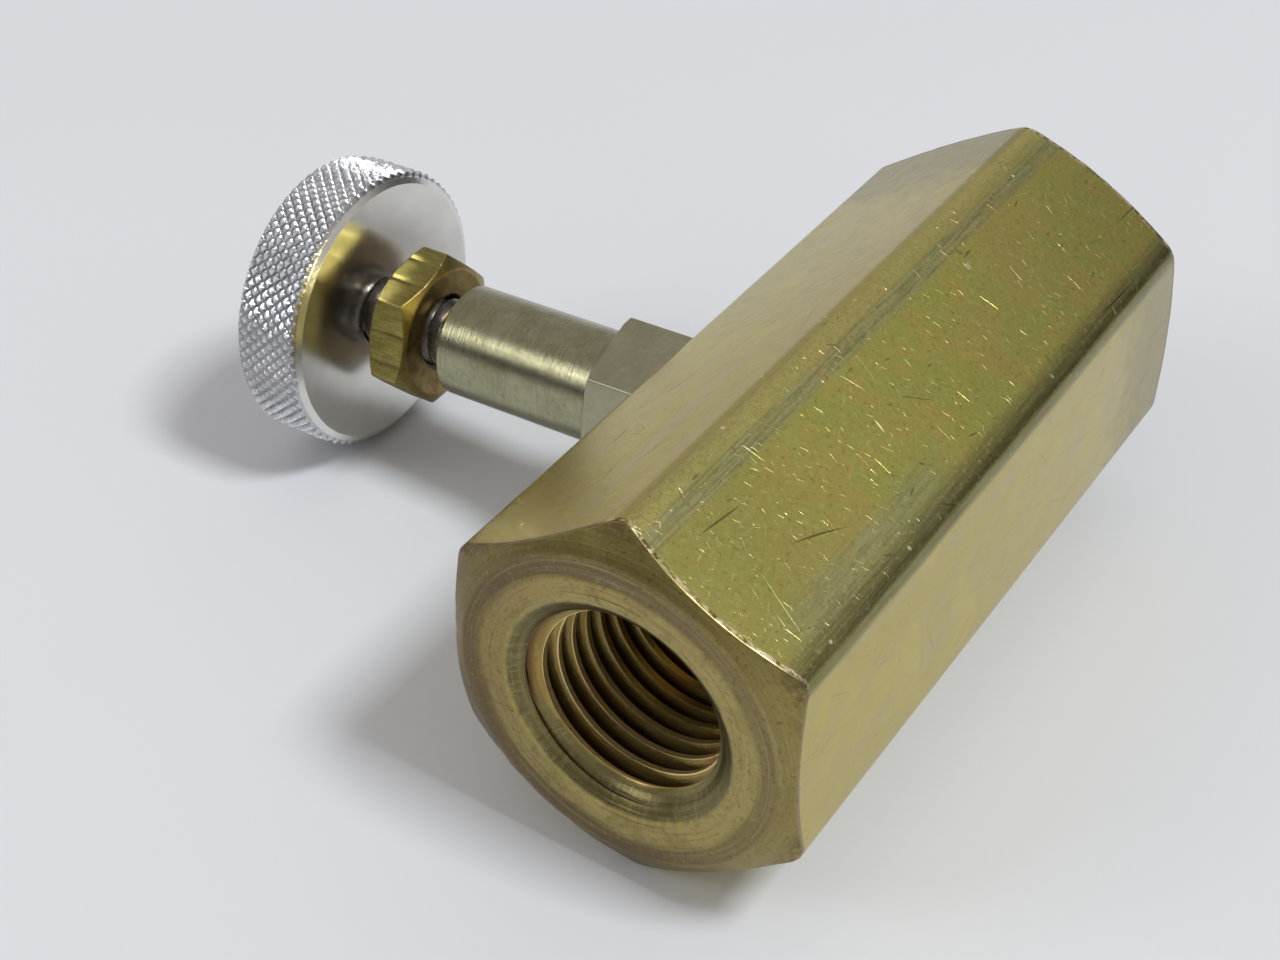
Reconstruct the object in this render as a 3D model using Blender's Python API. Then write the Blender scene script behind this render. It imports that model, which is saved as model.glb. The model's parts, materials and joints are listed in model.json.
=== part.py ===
"""Brass needle valve: hexagonal bar body with two pipe ports, side bonnet, stem, lock nut and knob.

The valve lies on its bottom body edge and on the rim of its knob, on the floor z = 0.
Valve frame: +X along the body and its two ports, +Y outwards along the stem, +Z up.
The stem frame has its own +Z outwards along the stem, from the same centre.
"""
import math

import bmesh
import bpy

MM = 0.001
CLEARANCE = 0.3 * MM
SEAL_CLEARANCE = 0.15 * MM

# Body: 7/8 inch hexagonal brass bar
BODY_FLATS = 22.225 * MM
BODY_LENGTH = 52.4 * MM
BODY_CORNER_RADIUS = 1.33 * MM
BODY_FACE_RADIUS = 10.35 * MM
CHAMFER_ANGLE = math.radians(30)

# Ports: 1/4 inch taper pipe thread, drawn at its pitch line
PORT_MOUTH_RADIUS = 7.56 * MM
PORT_THREAD_RADIUS = 6.24 * MM
PORT_TAPER = 1.0 / 32.0
PORT_THREAD_DEPTH = 14.0 * MM
PORT_DRILL_RADIUS = 5.55 * MM
PORT_DRILL_DEPTH = 17.0 * MM
DRILL_POINT_ANGLE = math.radians(59)

# Bore across the body for the bonnet, the chamber, the seat and the two passages
BONNET_BORE_RADIUS = 4.27 * MM
BONNET_BORE_FLOOR = 4.9 * MM
BONNET_BORE_CHAMFER = 0.45 * MM
CHAMBER_RADIUS = 3.3 * MM
SEAT_HEIGHT = 1.0 * MM
ORIFICE_RADIUS = 1.4 * MM
PASSAGE_RADIUS = 1.5 * MM
INLET_PASSAGE_HEIGHT = -3.2 * MM
OUTLET_PASSAGE_HEIGHT = 3.0 * MM
DRILL_OVERRUN = 0.2 * MM

# Bonnet: 3/8 inch hexagon with a round barrel and a 5/16 inch shank, along the stem
BONNET_FLATS = 9.525 * MM
BONNET_CORNER_RADIUS = 0.2 * MM
SHANK_RADIUS = 3.97 * MM
SHANK_END = 5.75 * MM
HEX_TOP = 16.6 * MM
HEX_TURN = math.radians(41)
HEX_CHAMFER_RADIUS = 5.2 * MM
BARREL_RADIUS = 3.84 * MM
BARREL_TOP = 29.1 * MM
BARREL_EDGE = 0.2 * MM
STEM_BORE_RADIUS = 3.0 * MM
STEM_BORE_TOP = 17.6 * MM

# Stem: needle point, sealed head and 10-32 threaded shank, two turns above its seat
STEM_PITCH = 0.79375 * MM
TURNS_FROM_CLOSED = 2.0
NEEDLE_HALF_ANGLE = math.radians(20)
NEEDLE_TIP_RADIUS = 0.4 * MM
SEAT_CLEARANCE = 0.1 * MM
HEAD_RADIUS = 2.7 * MM
HEAD_TOP = 14.0 * MM
STEM_RADIUS = 2.25 * MM
STEM_TOP = 41.2 * MM
STEM_EDGE = 0.4 * MM
SLOT_WIDTH = 0.8 * MM
SLOT_DEPTH = 1.0 * MM

# Seals in the stem's groove, and the seal under the bonnet
GROOVE_RADIUS = 1.8 * MM
GROOVE_FLOOR = 9.2 * MM
BACKUP_THICKNESS = 0.5 * MM
RING_SECTION = 0.45 * MM
BONNET_SEAL_INNER = 3.4 * MM
BONNET_SEAL_THICKNESS = 0.55 * MM

# Lock nut: 3/8 inch across flats, 1/8 inch thick
NUT_FLATS = 9.525 * MM
NUT_CORNER_RADIUS = 0.15 * MM
NUT_BOTTOM = 31.0 * MM
NUT_THICKNESS = 3.175 * MM
NUT_FACE_RADIUS = 4.45 * MM
NUT_TURN = math.radians(45.5)

# Knob
KNOB_BOTTOM = 36.19 * MM
KNOB_TOP = 41.6 * MM
KNOB_RADIUS = 10.04 * MM
KNOB_FACE_RADIUS = 9.14 * MM
KNOB_EDGE = 0.57 * MM
KNOB_RECESS_RADIUS = 5.0 * MM
KNOB_RECESS_DEPTH = 0.6 * MM
SET_SCREW_HEIGHT = 38.9 * MM
SET_SCREW_TURN = math.radians(20)
SET_SCREW_RADIUS = 1.4 * MM
SET_SCREW_INNER = 2.7 * MM
SET_SCREW_OUTER = 9.2 * MM
SOCKET_RADIUS = 0.75 * MM
SOCKET_DEPTH = 2.0 * MM
SOCKET_CORNER_RADIUS = 0.05 * MM

SIXTH_TURN = math.pi / 3.0
TWELFTH_TURN = math.pi / 6.0
FINE_STEPS = 96
ROUND_STEPS = 64
STEM_STEPS = 48
SMALL_STEPS = 32
RING_SECTION_STEPS = 12
BODY_ARC_STEPS = 6
SMALL_ARC_STEPS = 2
CUT_OVERRUN = 0.5 * MM
SMOOTH_ANGLE = math.radians(25)


def clear_scene():
    for item in list(bpy.data.objects):
        bpy.data.objects.remove(item, do_unlink=True)


def metal(name, colour, roughness, metallic=1.0):
    material = bpy.data.materials.new(name)
    material.use_nodes = True
    shader = material.node_tree.nodes["Principled BSDF"]
    shader.inputs["Base Color"].default_value = (*colour, 1.0)
    shader.inputs["Roughness"].default_value = roughness
    shader.inputs["Metallic"].default_value = metallic
    return material


def body_brass():
    return metal("body_brass", (0.52, 0.44, 0.20), 0.30)


def plated_steel():
    return metal("plated_steel", (0.50, 0.50, 0.43), 0.38)


def stem_steel():
    return metal("stem_steel", (0.30, 0.29, 0.28), 0.30)


def nut_brass():
    return metal("nut_brass", (0.47, 0.38, 0.14), 0.32)


def knob_aluminium():
    return metal("knob_aluminium", (0.85, 0.85, 0.85), 0.20)


def seal_rubber():
    return metal("seal_rubber", (0.03, 0.03, 0.03), 0.60, 0.0)


def backup_plastic():
    return metal("backup_plastic", (0.80, 0.80, 0.76), 0.45, 0.0)


def seal_copper():
    return metal("seal_copper", (0.70, 0.36, 0.22), 0.35)


def screw_steel():
    return metal("screw_steel", (0.12, 0.12, 0.12), 0.45)


def mesh_object(name, points, faces, material=None, parent=None):
    """One closed mesh with its faces pointing out; a piece without a material is a cutter."""
    mesh = bpy.data.meshes.new(name)
    bm = bmesh.new()
    corners = [bm.verts.new(point) for point in points]
    for face in faces:
        bm.faces.new([corners[index] for index in face])
    bmesh.ops.recalc_face_normals(bm, faces=bm.faces)
    bm.to_mesh(mesh)
    bm.free()
    mesh.shade_smooth()
    mesh.set_sharp_from_angle(angle=SMOOTH_ANGLE)
    item = bpy.data.objects.new(name, mesh)
    bpy.context.scene.collection.objects.link(item)
    item.parent = parent
    if material is None:
        item.hide_render = True
        item.display_type = "WIRE"
    else:
        mesh.materials.append(material)
    return item


def turned(name, profile, material=None, parent=None, steps=ROUND_STEPS):
    """Solid turned about Z from (radius, height) points; radius 0 closes it on the axis.

    A profile that never reaches the axis is a closed loop, which makes a ring.
    """
    points = []
    rings = []
    for radius, height in profile:
        if radius == 0.0:
            rings.append([len(points)])
            points.append((0.0, 0.0, height))
            continue
        rings.append(list(range(len(points), len(points) + steps)))
        for step in range(steps):
            angle = 2.0 * math.pi * step / steps
            points.append((radius * math.cos(angle), radius * math.sin(angle), height))
    pairs = list(zip(rings, rings[1:]))
    if profile[0][0] > 0.0:
        pairs.append((rings[-1], rings[0]))
    faces = []
    for lower, upper in pairs:
        for step in range(steps):
            after = (step + 1) % steps
            face = [lower[step % len(lower)], lower[after % len(lower)]]
            face += [upper[after % len(upper)], upper[step % len(upper)]]
            faces.append(list(dict.fromkeys(face)))
    return mesh_object(name, points, faces, material, parent)


def hexagon_outline(across_flats, corner_radius, turn, arc_steps=SMALL_ARC_STEPS):
    """Points round a hexagon whose corners are rounded; the first corner is at the turn angle."""
    centre_distance = across_flats / math.sqrt(3.0) - corner_radius / math.cos(TWELFTH_TURN)
    outline = []
    for corner in range(6):
        heading = turn + corner * SIXTH_TURN
        for step in range(arc_steps + 1):
            angle = heading - TWELFTH_TURN + step * SIXTH_TURN / arc_steps
            across = centre_distance * math.cos(heading) + corner_radius * math.cos(angle)
            along = centre_distance * math.sin(heading) + corner_radius * math.sin(angle)
            outline.append((across, along))
    return outline


def prism(name, outline, bottom, top, material=None, parent=None):
    """Solid that carries an outline from one height to another along Z."""
    count = len(outline)
    points = [(x, y, bottom) for x, y in outline] + [(x, y, top) for x, y in outline]
    faces = [list(range(count)), list(range(count, 2 * count))]
    for index in range(count):
        after = (index + 1) % count
        faces.append([index, after, count + after, count + index])
    return mesh_object(name, points, faces, material, parent)


def combine(target, tool, operation):
    step = target.modifiers.new(operation.lower() + "_" + tool.name, "BOOLEAN")
    step.operation = operation
    step.solver = "EXACT"
    step.object = tool


def frame_empty(name, parent=None, rotation=(0.0, 0.0, 0.0)):
    empty = bpy.data.objects.new(name, None)
    bpy.context.scene.collection.objects.link(empty)
    empty.parent = parent
    empty.rotation_euler = rotation
    return empty


def chamfered_ends(radius_at_face, radius_outside, bottom, top):
    """Turned blank whose two ends slope back at the chamfer angle."""
    drop = (radius_outside - radius_at_face) * math.tan(CHAMFER_ANGLE)
    return [
        (0.0, bottom),
        (radius_at_face, bottom),
        (radius_outside, bottom + drop),
        (radius_outside, top - drop),
        (radius_at_face, top),
        (0.0, top),
    ]


def port_cutter(port_frame, name):
    """Countersink, tapered bore, tap drill and drill point, cut down from the end face."""
    face = BODY_LENGTH / 2.0
    mouth = PORT_MOUTH_RADIUS
    sink_depth = (mouth - PORT_THREAD_RADIUS) / (1.0 - PORT_TAPER)
    thread_start = PORT_THREAD_RADIUS - sink_depth * PORT_TAPER
    thread_end = PORT_THREAD_RADIUS - PORT_THREAD_DEPTH * PORT_TAPER
    point_depth = PORT_DRILL_DEPTH + PORT_DRILL_RADIUS / math.tan(DRILL_POINT_ANGLE)
    profile = [
        (0.0, face + CUT_OVERRUN),
        (mouth + CUT_OVERRUN, face + CUT_OVERRUN),
        (thread_start, face - sink_depth),
        (thread_end, face - PORT_THREAD_DEPTH),
        (PORT_DRILL_RADIUS, face - PORT_THREAD_DEPTH),
        (PORT_DRILL_RADIUS, face - PORT_DRILL_DEPTH),
        (0.0, face - point_depth),
    ]
    return turned(name, profile, parent=port_frame)


def cross_bore_cutter(stem_frame):
    """Bonnet bore, chamber and orifice, cut in from the side of the body."""
    side = BODY_FLATS / 2.0
    profile = [
        (0.0, side + CUT_OVERRUN),
        (BONNET_BORE_RADIUS + BONNET_BORE_CHAMFER, side + CUT_OVERRUN),
        (BONNET_BORE_RADIUS + BONNET_BORE_CHAMFER, side),
        (BONNET_BORE_RADIUS, side - BONNET_BORE_CHAMFER),
        (BONNET_BORE_RADIUS, BONNET_BORE_FLOOR),
        (CHAMBER_RADIUS, BONNET_BORE_FLOOR),
        (CHAMBER_RADIUS, SEAT_HEIGHT),
        (ORIFICE_RADIUS, SEAT_HEIGHT),
        (ORIFICE_RADIUS, INLET_PASSAGE_HEIGHT),
        (0.0, INLET_PASSAGE_HEIGHT),
    ]
    return turned("cross_bore_cutter", profile, parent=stem_frame)


def passage_cutter(port_frame, name, height, inner_end):
    """Straight drilled hole from the floor of one port, parallel to the body."""
    outer_end = BODY_LENGTH / 2.0 - PORT_DRILL_DEPTH + CUT_OVERRUN
    profile = [
        (0.0, inner_end),
        (PASSAGE_RADIUS, inner_end),
        (PASSAGE_RADIUS, outer_end),
        (0.0, outer_end),
    ]
    cutter = turned(name, profile, parent=port_frame, steps=SMALL_STEPS)
    cutter.location = (0.0, height, 0.0)
    return cutter


def make_valve_body(valve_frame, stem_frame):
    """Bar stock along the outlet's axis; both port frames keep the stem direction as their Y."""
    outlet_axis = frame_empty("outlet_axis", valve_frame, (0.0, math.pi / 2.0, 0.0))
    inlet_axis = frame_empty("inlet_axis", valve_frame, (0.0, -math.pi / 2.0, 0.0))
    half = BODY_LENGTH / 2.0
    outline = hexagon_outline(BODY_FLATS, BODY_CORNER_RADIUS, 0.0, BODY_ARC_STEPS)
    body = prism("valve_body", outline, -half, half, body_brass(), outlet_axis)
    past_corners = BODY_FLATS / math.sqrt(3.0) + CUT_OVERRUN
    blank_profile = chamfered_ends(BODY_FACE_RADIUS, past_corners, -half, half)
    blank = turned("end_chamfer_blank", blank_profile, parent=outlet_axis, steps=FINE_STEPS)
    inlet_end = -ORIFICE_RADIUS - DRILL_OVERRUN
    outlet_end = CHAMBER_RADIUS / 2.0
    combine(body, blank, "INTERSECT")
    cutters = [
        port_cutter(outlet_axis, "outlet_port_cutter"),
        port_cutter(inlet_axis, "inlet_port_cutter"),
        cross_bore_cutter(stem_frame),
        passage_cutter(inlet_axis, "inlet_passage_cutter", INLET_PASSAGE_HEIGHT, inlet_end),
        passage_cutter(outlet_axis, "outlet_passage_cutter", OUTLET_PASSAGE_HEIGHT, outlet_end),
    ]
    for cutter in cutters:
        combine(body, cutter, "DIFFERENCE")
    return body


def make_bonnet(stem_frame):
    outline = hexagon_outline(BONNET_FLATS, BONNET_CORNER_RADIUS, HEX_TURN)
    hex_bottom = BODY_FLATS / 2.0 + CLEARANCE
    bonnet = prism("bonnet", outline, hex_bottom, HEX_TOP, plated_steel(), stem_frame)
    past_corners = BONNET_FLATS / math.sqrt(3.0) + CUT_OVERRUN
    drop = (past_corners - HEX_CHAMFER_RADIUS) * math.tan(CHAMFER_ANGLE)
    hex_profile = [
        (0.0, hex_bottom - CUT_OVERRUN),
        (past_corners, hex_bottom - CUT_OVERRUN),
        (past_corners, HEX_TOP - drop),
        (HEX_CHAMFER_RADIUS, HEX_TOP),
        (0.0, HEX_TOP),
    ]
    hex_blank = turned("hex_chamfer_blank", hex_profile, parent=stem_frame)
    combine(bonnet, hex_blank, "INTERSECT")
    overlap = (hex_bottom + HEX_TOP) / 2.0
    shank_profile = [
        (0.0, SHANK_END),
        (SHANK_RADIUS - BARREL_EDGE, SHANK_END),
        (SHANK_RADIUS, SHANK_END + BARREL_EDGE),
        (SHANK_RADIUS, overlap),
        (BARREL_RADIUS, overlap),
        (BARREL_RADIUS, BARREL_TOP - BARREL_EDGE),
        (BARREL_RADIUS - BARREL_EDGE, BARREL_TOP),
        (0.0, BARREL_TOP),
    ]
    combine(bonnet, turned("shank_and_barrel", shank_profile, parent=stem_frame), "UNION")
    thread_bore = STEM_RADIUS + CLEARANCE
    cone_rise = (STEM_BORE_RADIUS - thread_bore) / math.tan(DRILL_POINT_ANGLE)
    bore_profile = [
        (0.0, SHANK_END - CUT_OVERRUN),
        (STEM_BORE_RADIUS, SHANK_END - CUT_OVERRUN),
        (STEM_BORE_RADIUS, STEM_BORE_TOP),
        (thread_bore, STEM_BORE_TOP + cone_rise),
        (thread_bore, BARREL_TOP - STEM_EDGE),
        (thread_bore + STEM_EDGE + CUT_OVERRUN, BARREL_TOP + CUT_OVERRUN),
        (0.0, BARREL_TOP + CUT_OVERRUN),
    ]
    combine(bonnet, turned("stem_bore_cutter", bore_profile, parent=stem_frame), "DIFFERENCE")
    return bonnet


def groove_height():
    """Room for two backup rings and the O-ring between them."""
    return 2.0 * (BACKUP_THICKNESS + RING_SECTION) + 4.0 * SEAL_CLEARANCE


def make_needle_stem(stem_frame):
    slope = math.tan(NEEDLE_HALF_ANGLE)
    lift = TURNS_FROM_CLOSED * STEM_PITCH + SEAT_CLEARANCE / math.sin(NEEDLE_HALF_ANGLE)
    contact = SEAT_HEIGHT + lift
    groove_top = GROOVE_FLOOR + groove_height()
    profile = [
        (0.0, contact - (ORIFICE_RADIUS - NEEDLE_TIP_RADIUS) / slope),
        (NEEDLE_TIP_RADIUS, contact - (ORIFICE_RADIUS - NEEDLE_TIP_RADIUS) / slope),
        (HEAD_RADIUS, contact + (HEAD_RADIUS - ORIFICE_RADIUS) / slope),
        (HEAD_RADIUS, GROOVE_FLOOR),
        (GROOVE_RADIUS, GROOVE_FLOOR),
        (GROOVE_RADIUS, groove_top),
        (HEAD_RADIUS, groove_top),
        (HEAD_RADIUS, HEAD_TOP),
        (STEM_RADIUS, HEAD_TOP),
        (STEM_RADIUS, STEM_TOP - STEM_EDGE),
        (STEM_RADIUS - STEM_EDGE, STEM_TOP),
        (0.0, STEM_TOP),
    ]
    stem = turned("needle_stem", profile, stem_steel(), stem_frame, STEM_STEPS)
    half = SLOT_WIDTH / 2.0
    reach = STEM_RADIUS + CUT_OVERRUN
    slot_outline = [(-reach, -half), (reach, -half), (reach, half), (-reach, half)]
    slot = prism("slot_cutter", slot_outline, STEM_TOP - SLOT_DEPTH, STEM_TOP + CUT_OVERRUN,
                 parent=stem_frame)
    combine(stem, slot, "DIFFERENCE")
    return stem


def ring(name, inner, outer, bottom, thickness, material, stem_frame):
    profile = [
        (inner, bottom),
        (outer, bottom),
        (outer, bottom + thickness),
        (inner, bottom + thickness),
    ]
    return turned(name, profile, material, stem_frame, STEM_STEPS)


def make_stem_seals(stem_frame):
    inner = GROOVE_RADIUS + SEAL_CLEARANCE
    outer = STEM_BORE_RADIUS - SEAL_CLEARANCE
    plastic = backup_plastic()
    height = GROOVE_FLOOR + SEAL_CLEARANCE
    ring("backup_ring_lower", inner, outer, height, BACKUP_THICKNESS, plastic, stem_frame)
    centre = height + BACKUP_THICKNESS + SEAL_CLEARANCE + RING_SECTION
    middle = (inner + outer) / 2.0
    section = []
    for step in range(RING_SECTION_STEPS):
        angle = 2.0 * math.pi * step / RING_SECTION_STEPS
        across = middle + RING_SECTION * math.cos(angle)
        section.append((across, centre + RING_SECTION * math.sin(angle)))
    turned("stem_o_ring", section, seal_rubber(), stem_frame, STEM_STEPS)
    height = centre + RING_SECTION + SEAL_CLEARANCE
    ring("backup_ring_upper", inner, outer, height, BACKUP_THICKNESS, plastic, stem_frame)


def make_bonnet_seal(stem_frame):
    outer = BONNET_BORE_RADIUS - SEAL_CLEARANCE
    bottom = BONNET_BORE_FLOOR + SEAL_CLEARANCE
    ring("bonnet_seal", BONNET_SEAL_INNER, outer, bottom, BONNET_SEAL_THICKNESS, seal_copper(),
         stem_frame)


def make_lock_nut(stem_frame):
    """Machine nut, chamfered on both faces."""
    top = NUT_BOTTOM + NUT_THICKNESS
    outline = hexagon_outline(NUT_FLATS, NUT_CORNER_RADIUS, NUT_TURN)
    nut = prism("lock_nut", outline, NUT_BOTTOM, top, nut_brass(), stem_frame)
    past_corners = NUT_FLATS / math.sqrt(3.0) + CUT_OVERRUN
    blank_profile = chamfered_ends(NUT_FACE_RADIUS, past_corners, NUT_BOTTOM, top)
    combine(nut, turned("nut_chamfer_blank", blank_profile, parent=stem_frame), "INTERSECT")
    bore = STEM_RADIUS + CLEARANCE
    bore_profile = [
        (0.0, NUT_BOTTOM - CUT_OVERRUN),
        (bore + STEM_EDGE + CUT_OVERRUN, NUT_BOTTOM - CUT_OVERRUN),
        (bore, NUT_BOTTOM + STEM_EDGE),
        (bore, top - STEM_EDGE),
        (bore + STEM_EDGE + CUT_OVERRUN, top + CUT_OVERRUN),
        (0.0, top + CUT_OVERRUN),
    ]
    combine(nut, turned("nut_bore_cutter", bore_profile, parent=stem_frame), "DIFFERENCE")
    return nut


def make_knob(stem_frame):
    bore = STEM_RADIUS + CLEARANCE
    profile = [
        (bore, KNOB_BOTTOM),
        (KNOB_FACE_RADIUS, KNOB_BOTTOM),
        (KNOB_RADIUS, KNOB_BOTTOM + KNOB_EDGE),
        (KNOB_RADIUS, KNOB_TOP - KNOB_EDGE),
        (KNOB_FACE_RADIUS, KNOB_TOP),
        (KNOB_RECESS_RADIUS, KNOB_TOP),
        (KNOB_RECESS_RADIUS - KNOB_RECESS_DEPTH / 2.0, KNOB_TOP - KNOB_RECESS_DEPTH),
        (bore, KNOB_TOP - KNOB_RECESS_DEPTH),
    ]
    knob = turned("knob", profile, knob_aluminium(), stem_frame, FINE_STEPS)
    screw_frame = frame_empty("set_screw_axis", stem_frame, (0.0, math.pi / 2.0, SET_SCREW_TURN))
    screw_frame.location = (0.0, 0.0, SET_SCREW_HEIGHT)
    hole_radius = SET_SCREW_RADIUS + CLEARANCE
    hole_profile = [
        (0.0, STEM_RADIUS),
        (hole_radius, STEM_RADIUS),
        (hole_radius, KNOB_RADIUS + CUT_OVERRUN),
        (0.0, KNOB_RADIUS + CUT_OVERRUN),
    ]
    hole = turned("set_screw_hole_cutter", hole_profile, parent=screw_frame, steps=SMALL_STEPS)
    combine(knob, hole, "DIFFERENCE")
    return screw_frame


def make_knob_set_screw(screw_frame):
    profile = [
        (0.0, SET_SCREW_INNER + CLEARANCE),
        (SET_SCREW_RADIUS / 2.0, SET_SCREW_INNER),
        (SET_SCREW_RADIUS, SET_SCREW_INNER + SET_SCREW_RADIUS / 2.0),
        (SET_SCREW_RADIUS, SET_SCREW_OUTER),
        (0.0, SET_SCREW_OUTER),
    ]
    screw = turned("knob_set_screw", profile, screw_steel(), screw_frame, SMALL_STEPS)
    socket_flats = SOCKET_RADIUS * math.sqrt(3.0)
    socket_outline = hexagon_outline(socket_flats, SOCKET_CORNER_RADIUS, 0.0)
    socket_floor = SET_SCREW_OUTER - SOCKET_DEPTH
    socket = prism("socket_cutter", socket_outline, socket_floor, SET_SCREW_OUTER + CUT_OVERRUN,
                   parent=screw_frame)
    combine(screw, socket, "DIFFERENCE")
    return screw


def resting_tilt():
    """Angle at which the bottom body edge and the knob's outer rim edge touch one plane."""
    rim_height = KNOB_TOP - KNOB_EDGE
    edge_centre = BODY_FLATS / math.sqrt(3.0) - BODY_CORNER_RADIUS / math.cos(TWELFTH_TURN)
    drop = edge_centre - KNOB_RADIUS
    reach = math.hypot(rim_height, drop)
    return math.atan2(drop, rim_height) + math.asin(BODY_CORNER_RADIUS / reach)


def settle_on_floor(valve_frame):
    """Put the lowest point on z = 0 and the middle of the outline over the origin."""
    bpy.context.view_layer.update()
    graph = bpy.context.evaluated_depsgraph_get()
    low = [math.inf] * 3
    high = [-math.inf] * 3
    for item in bpy.context.scene.objects:
        if item.type != "MESH" or item.hide_render:
            continue
        mesh = item.evaluated_get(graph).to_mesh()
        for vertex in mesh.vertices:
            place = item.matrix_world @ vertex.co
            low = [min(a, b) for a, b in zip(low, place)]
            high = [max(a, b) for a, b in zip(high, place)]
        item.evaluated_get(graph).to_mesh_clear()
    valve_frame.location = (-(low[0] + high[0]) / 2.0, -(low[1] + high[1]) / 2.0, -low[2])


def main():
    clear_scene()
    valve_frame = frame_empty("valve_frame", rotation=(-resting_tilt(), 0.0, 0.0))
    stem_frame = frame_empty("stem_axis", valve_frame, (-math.pi / 2.0, 0.0, 0.0))
    bpy.context.view_layer.update()
    make_valve_body(valve_frame, stem_frame)
    make_bonnet(stem_frame)
    make_bonnet_seal(stem_frame)
    make_needle_stem(stem_frame)
    make_stem_seals(stem_frame)
    make_lock_nut(stem_frame)
    screw_frame = make_knob(stem_frame)
    make_knob_set_screw(screw_frame)
    settle_on_floor(valve_frame)


main()
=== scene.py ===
import json
import math

import bmesh
import bpy
import numpy as np
from mathutils import Matrix, Vector


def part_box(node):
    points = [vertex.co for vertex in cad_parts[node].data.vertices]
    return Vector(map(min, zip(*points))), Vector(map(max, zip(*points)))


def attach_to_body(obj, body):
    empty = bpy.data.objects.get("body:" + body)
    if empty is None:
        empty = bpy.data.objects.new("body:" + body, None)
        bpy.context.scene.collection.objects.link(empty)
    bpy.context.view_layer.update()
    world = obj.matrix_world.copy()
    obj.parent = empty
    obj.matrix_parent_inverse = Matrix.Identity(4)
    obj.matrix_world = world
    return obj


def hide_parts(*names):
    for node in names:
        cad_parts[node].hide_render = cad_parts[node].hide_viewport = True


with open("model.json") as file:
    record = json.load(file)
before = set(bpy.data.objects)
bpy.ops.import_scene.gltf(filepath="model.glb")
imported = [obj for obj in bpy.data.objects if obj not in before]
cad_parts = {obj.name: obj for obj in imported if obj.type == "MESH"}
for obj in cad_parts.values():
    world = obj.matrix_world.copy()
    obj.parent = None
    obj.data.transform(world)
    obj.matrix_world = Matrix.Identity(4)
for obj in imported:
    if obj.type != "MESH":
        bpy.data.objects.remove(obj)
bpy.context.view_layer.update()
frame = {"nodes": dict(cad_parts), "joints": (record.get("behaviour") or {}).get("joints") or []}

MM = 0.001

# Body
BODY_FLATS = 22.225
BODY_LENGTH = 52.4
BODY_CORNER = 1.33
BODY_FACE_RADIUS = 10.35
CHAMFER_SLOPE = math.tan(math.radians(30))
PORT_MOUTH = 7.56
PORT_BORE = 5.75
PORT_DRILL = 5.55
PORT_DRILL_DEPTH = 17.0
PORT_POINT_DEPTH = 20.33
PIPE_PITCH = 1.411
PIPE_PITCH_RADIUS = 6.24
PIPE_TAPER = 1.0 / 32.0
PIPE_THREAD_DEPTH = 14.0
BURR = 0.06
CROSS_RADIUS = 4.27
CROSS_FLOOR = 4.9
CROSS_CHAMFER = 0.45
CHAMBER_RADIUS = 3.3
CHAMBER_FLOOR = 1.0
ORIFICE_RADIUS = 1.4
ORIFICE_FLOOR = -3.2
PASSAGE_RADIUS = 1.5
INLET_PASSAGE = -3.2
OUTLET_PASSAGE = 3.0
CUT_OVERRUN = 0.5

# Bonnet, stem, nut and knob: heights along the stem from the body's centre
BONNET_FLATS = 9.525
BONNET_TURN = math.radians(41)
SHANK_RADIUS = 3.97
SHANK_END = 5.75
HEX_TOP = 16.6
BARREL_RADIUS = 3.84
BARREL_TOP = 29.1
STEM_BORE = 3.0
STEM_BORE_TOP = 17.6
STEM_PITCH = 0.79375
STEM_CREST = 2.38
STEM_ROOT = 1.93
STEM_TOP = 41.2
SLOT_WIDTH = 0.8
SLOT_DEPTH = 1.0
HEAD_RADIUS = 2.7
HEAD_TOP = 14.0
GROOVE_RADIUS = 1.8
GROOVE_FLOOR = 9.2
GROOVE_TOP = 11.7
NUT_FLATS = 9.525
NUT_TURN = math.radians(45.5)
NUT_BOTTOM = 31.0
NUT_TOP = 34.175
NUT_FACE_RADIUS = 4.45
NUT_SCORES = (108, 132, 160, 204, 228, 286)
NUT_SCORE_DEPTH = 0.06
KNOB_BOTTOM = 36.19
KNOB_TOP = 41.6
KNOB_RADIUS = 10.03
KNOB_FACE_RADIUS = 9.14
KNOB_EDGE = 0.57
KNOB_BORE = 2.45
RECESS_RADIUS = 5.0
RECESS_DEPTH = 0.6
SET_SCREW_RADIUS = 1.42
SET_SCREW_HOLE = 1.5
SET_SCREW_END = 9.2
SET_SCREW_HEIGHT = 38.9
SET_SCREW_TURN = math.radians(20)
KNURLS_AROUND = 72
KNURLS_ACROSS = 5
KNURL_STEPS = 8
KNURL_DEPTH = 0.38

# Studio: brightness of the room, and its dim sides as direction, cosine range and share left
ROOM_LEVEL = 0.455
DARK_ZONES = (((0.90, -0.42, 0.02), (0.80, 0.97), 0.20), ((-0.84, 0.53, 0.06), (0.74, 0.96), 0.22))


def joint(name):
    return next(item for item in frame["joints"] if item["name"] == name)


def valve_frame():
    """X along the body, Y outwards along the stem, Z up, from the centre of the body."""
    low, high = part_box("valve_body")
    along = Vector((1.0, 0.0, 0.0))
    stem = Vector(joint("stem_turn")["axis"]).normalized()
    matrix = Matrix((along, stem, along.cross(stem))).transposed().to_4x4()
    matrix.translation = (low + high) / 2.0
    return matrix


VALVE = valve_frame()
STEM = VALVE @ Matrix.Rotation(-math.pi / 2.0, 4, "X")
OUTLET = VALVE @ Matrix.Rotation(math.pi / 2.0, 4, "Y")
INLET = VALVE @ Matrix.Rotation(-math.pi / 2.0, 4, "Y")


# ---------------------------------------------------------------- mesh helpers

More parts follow.
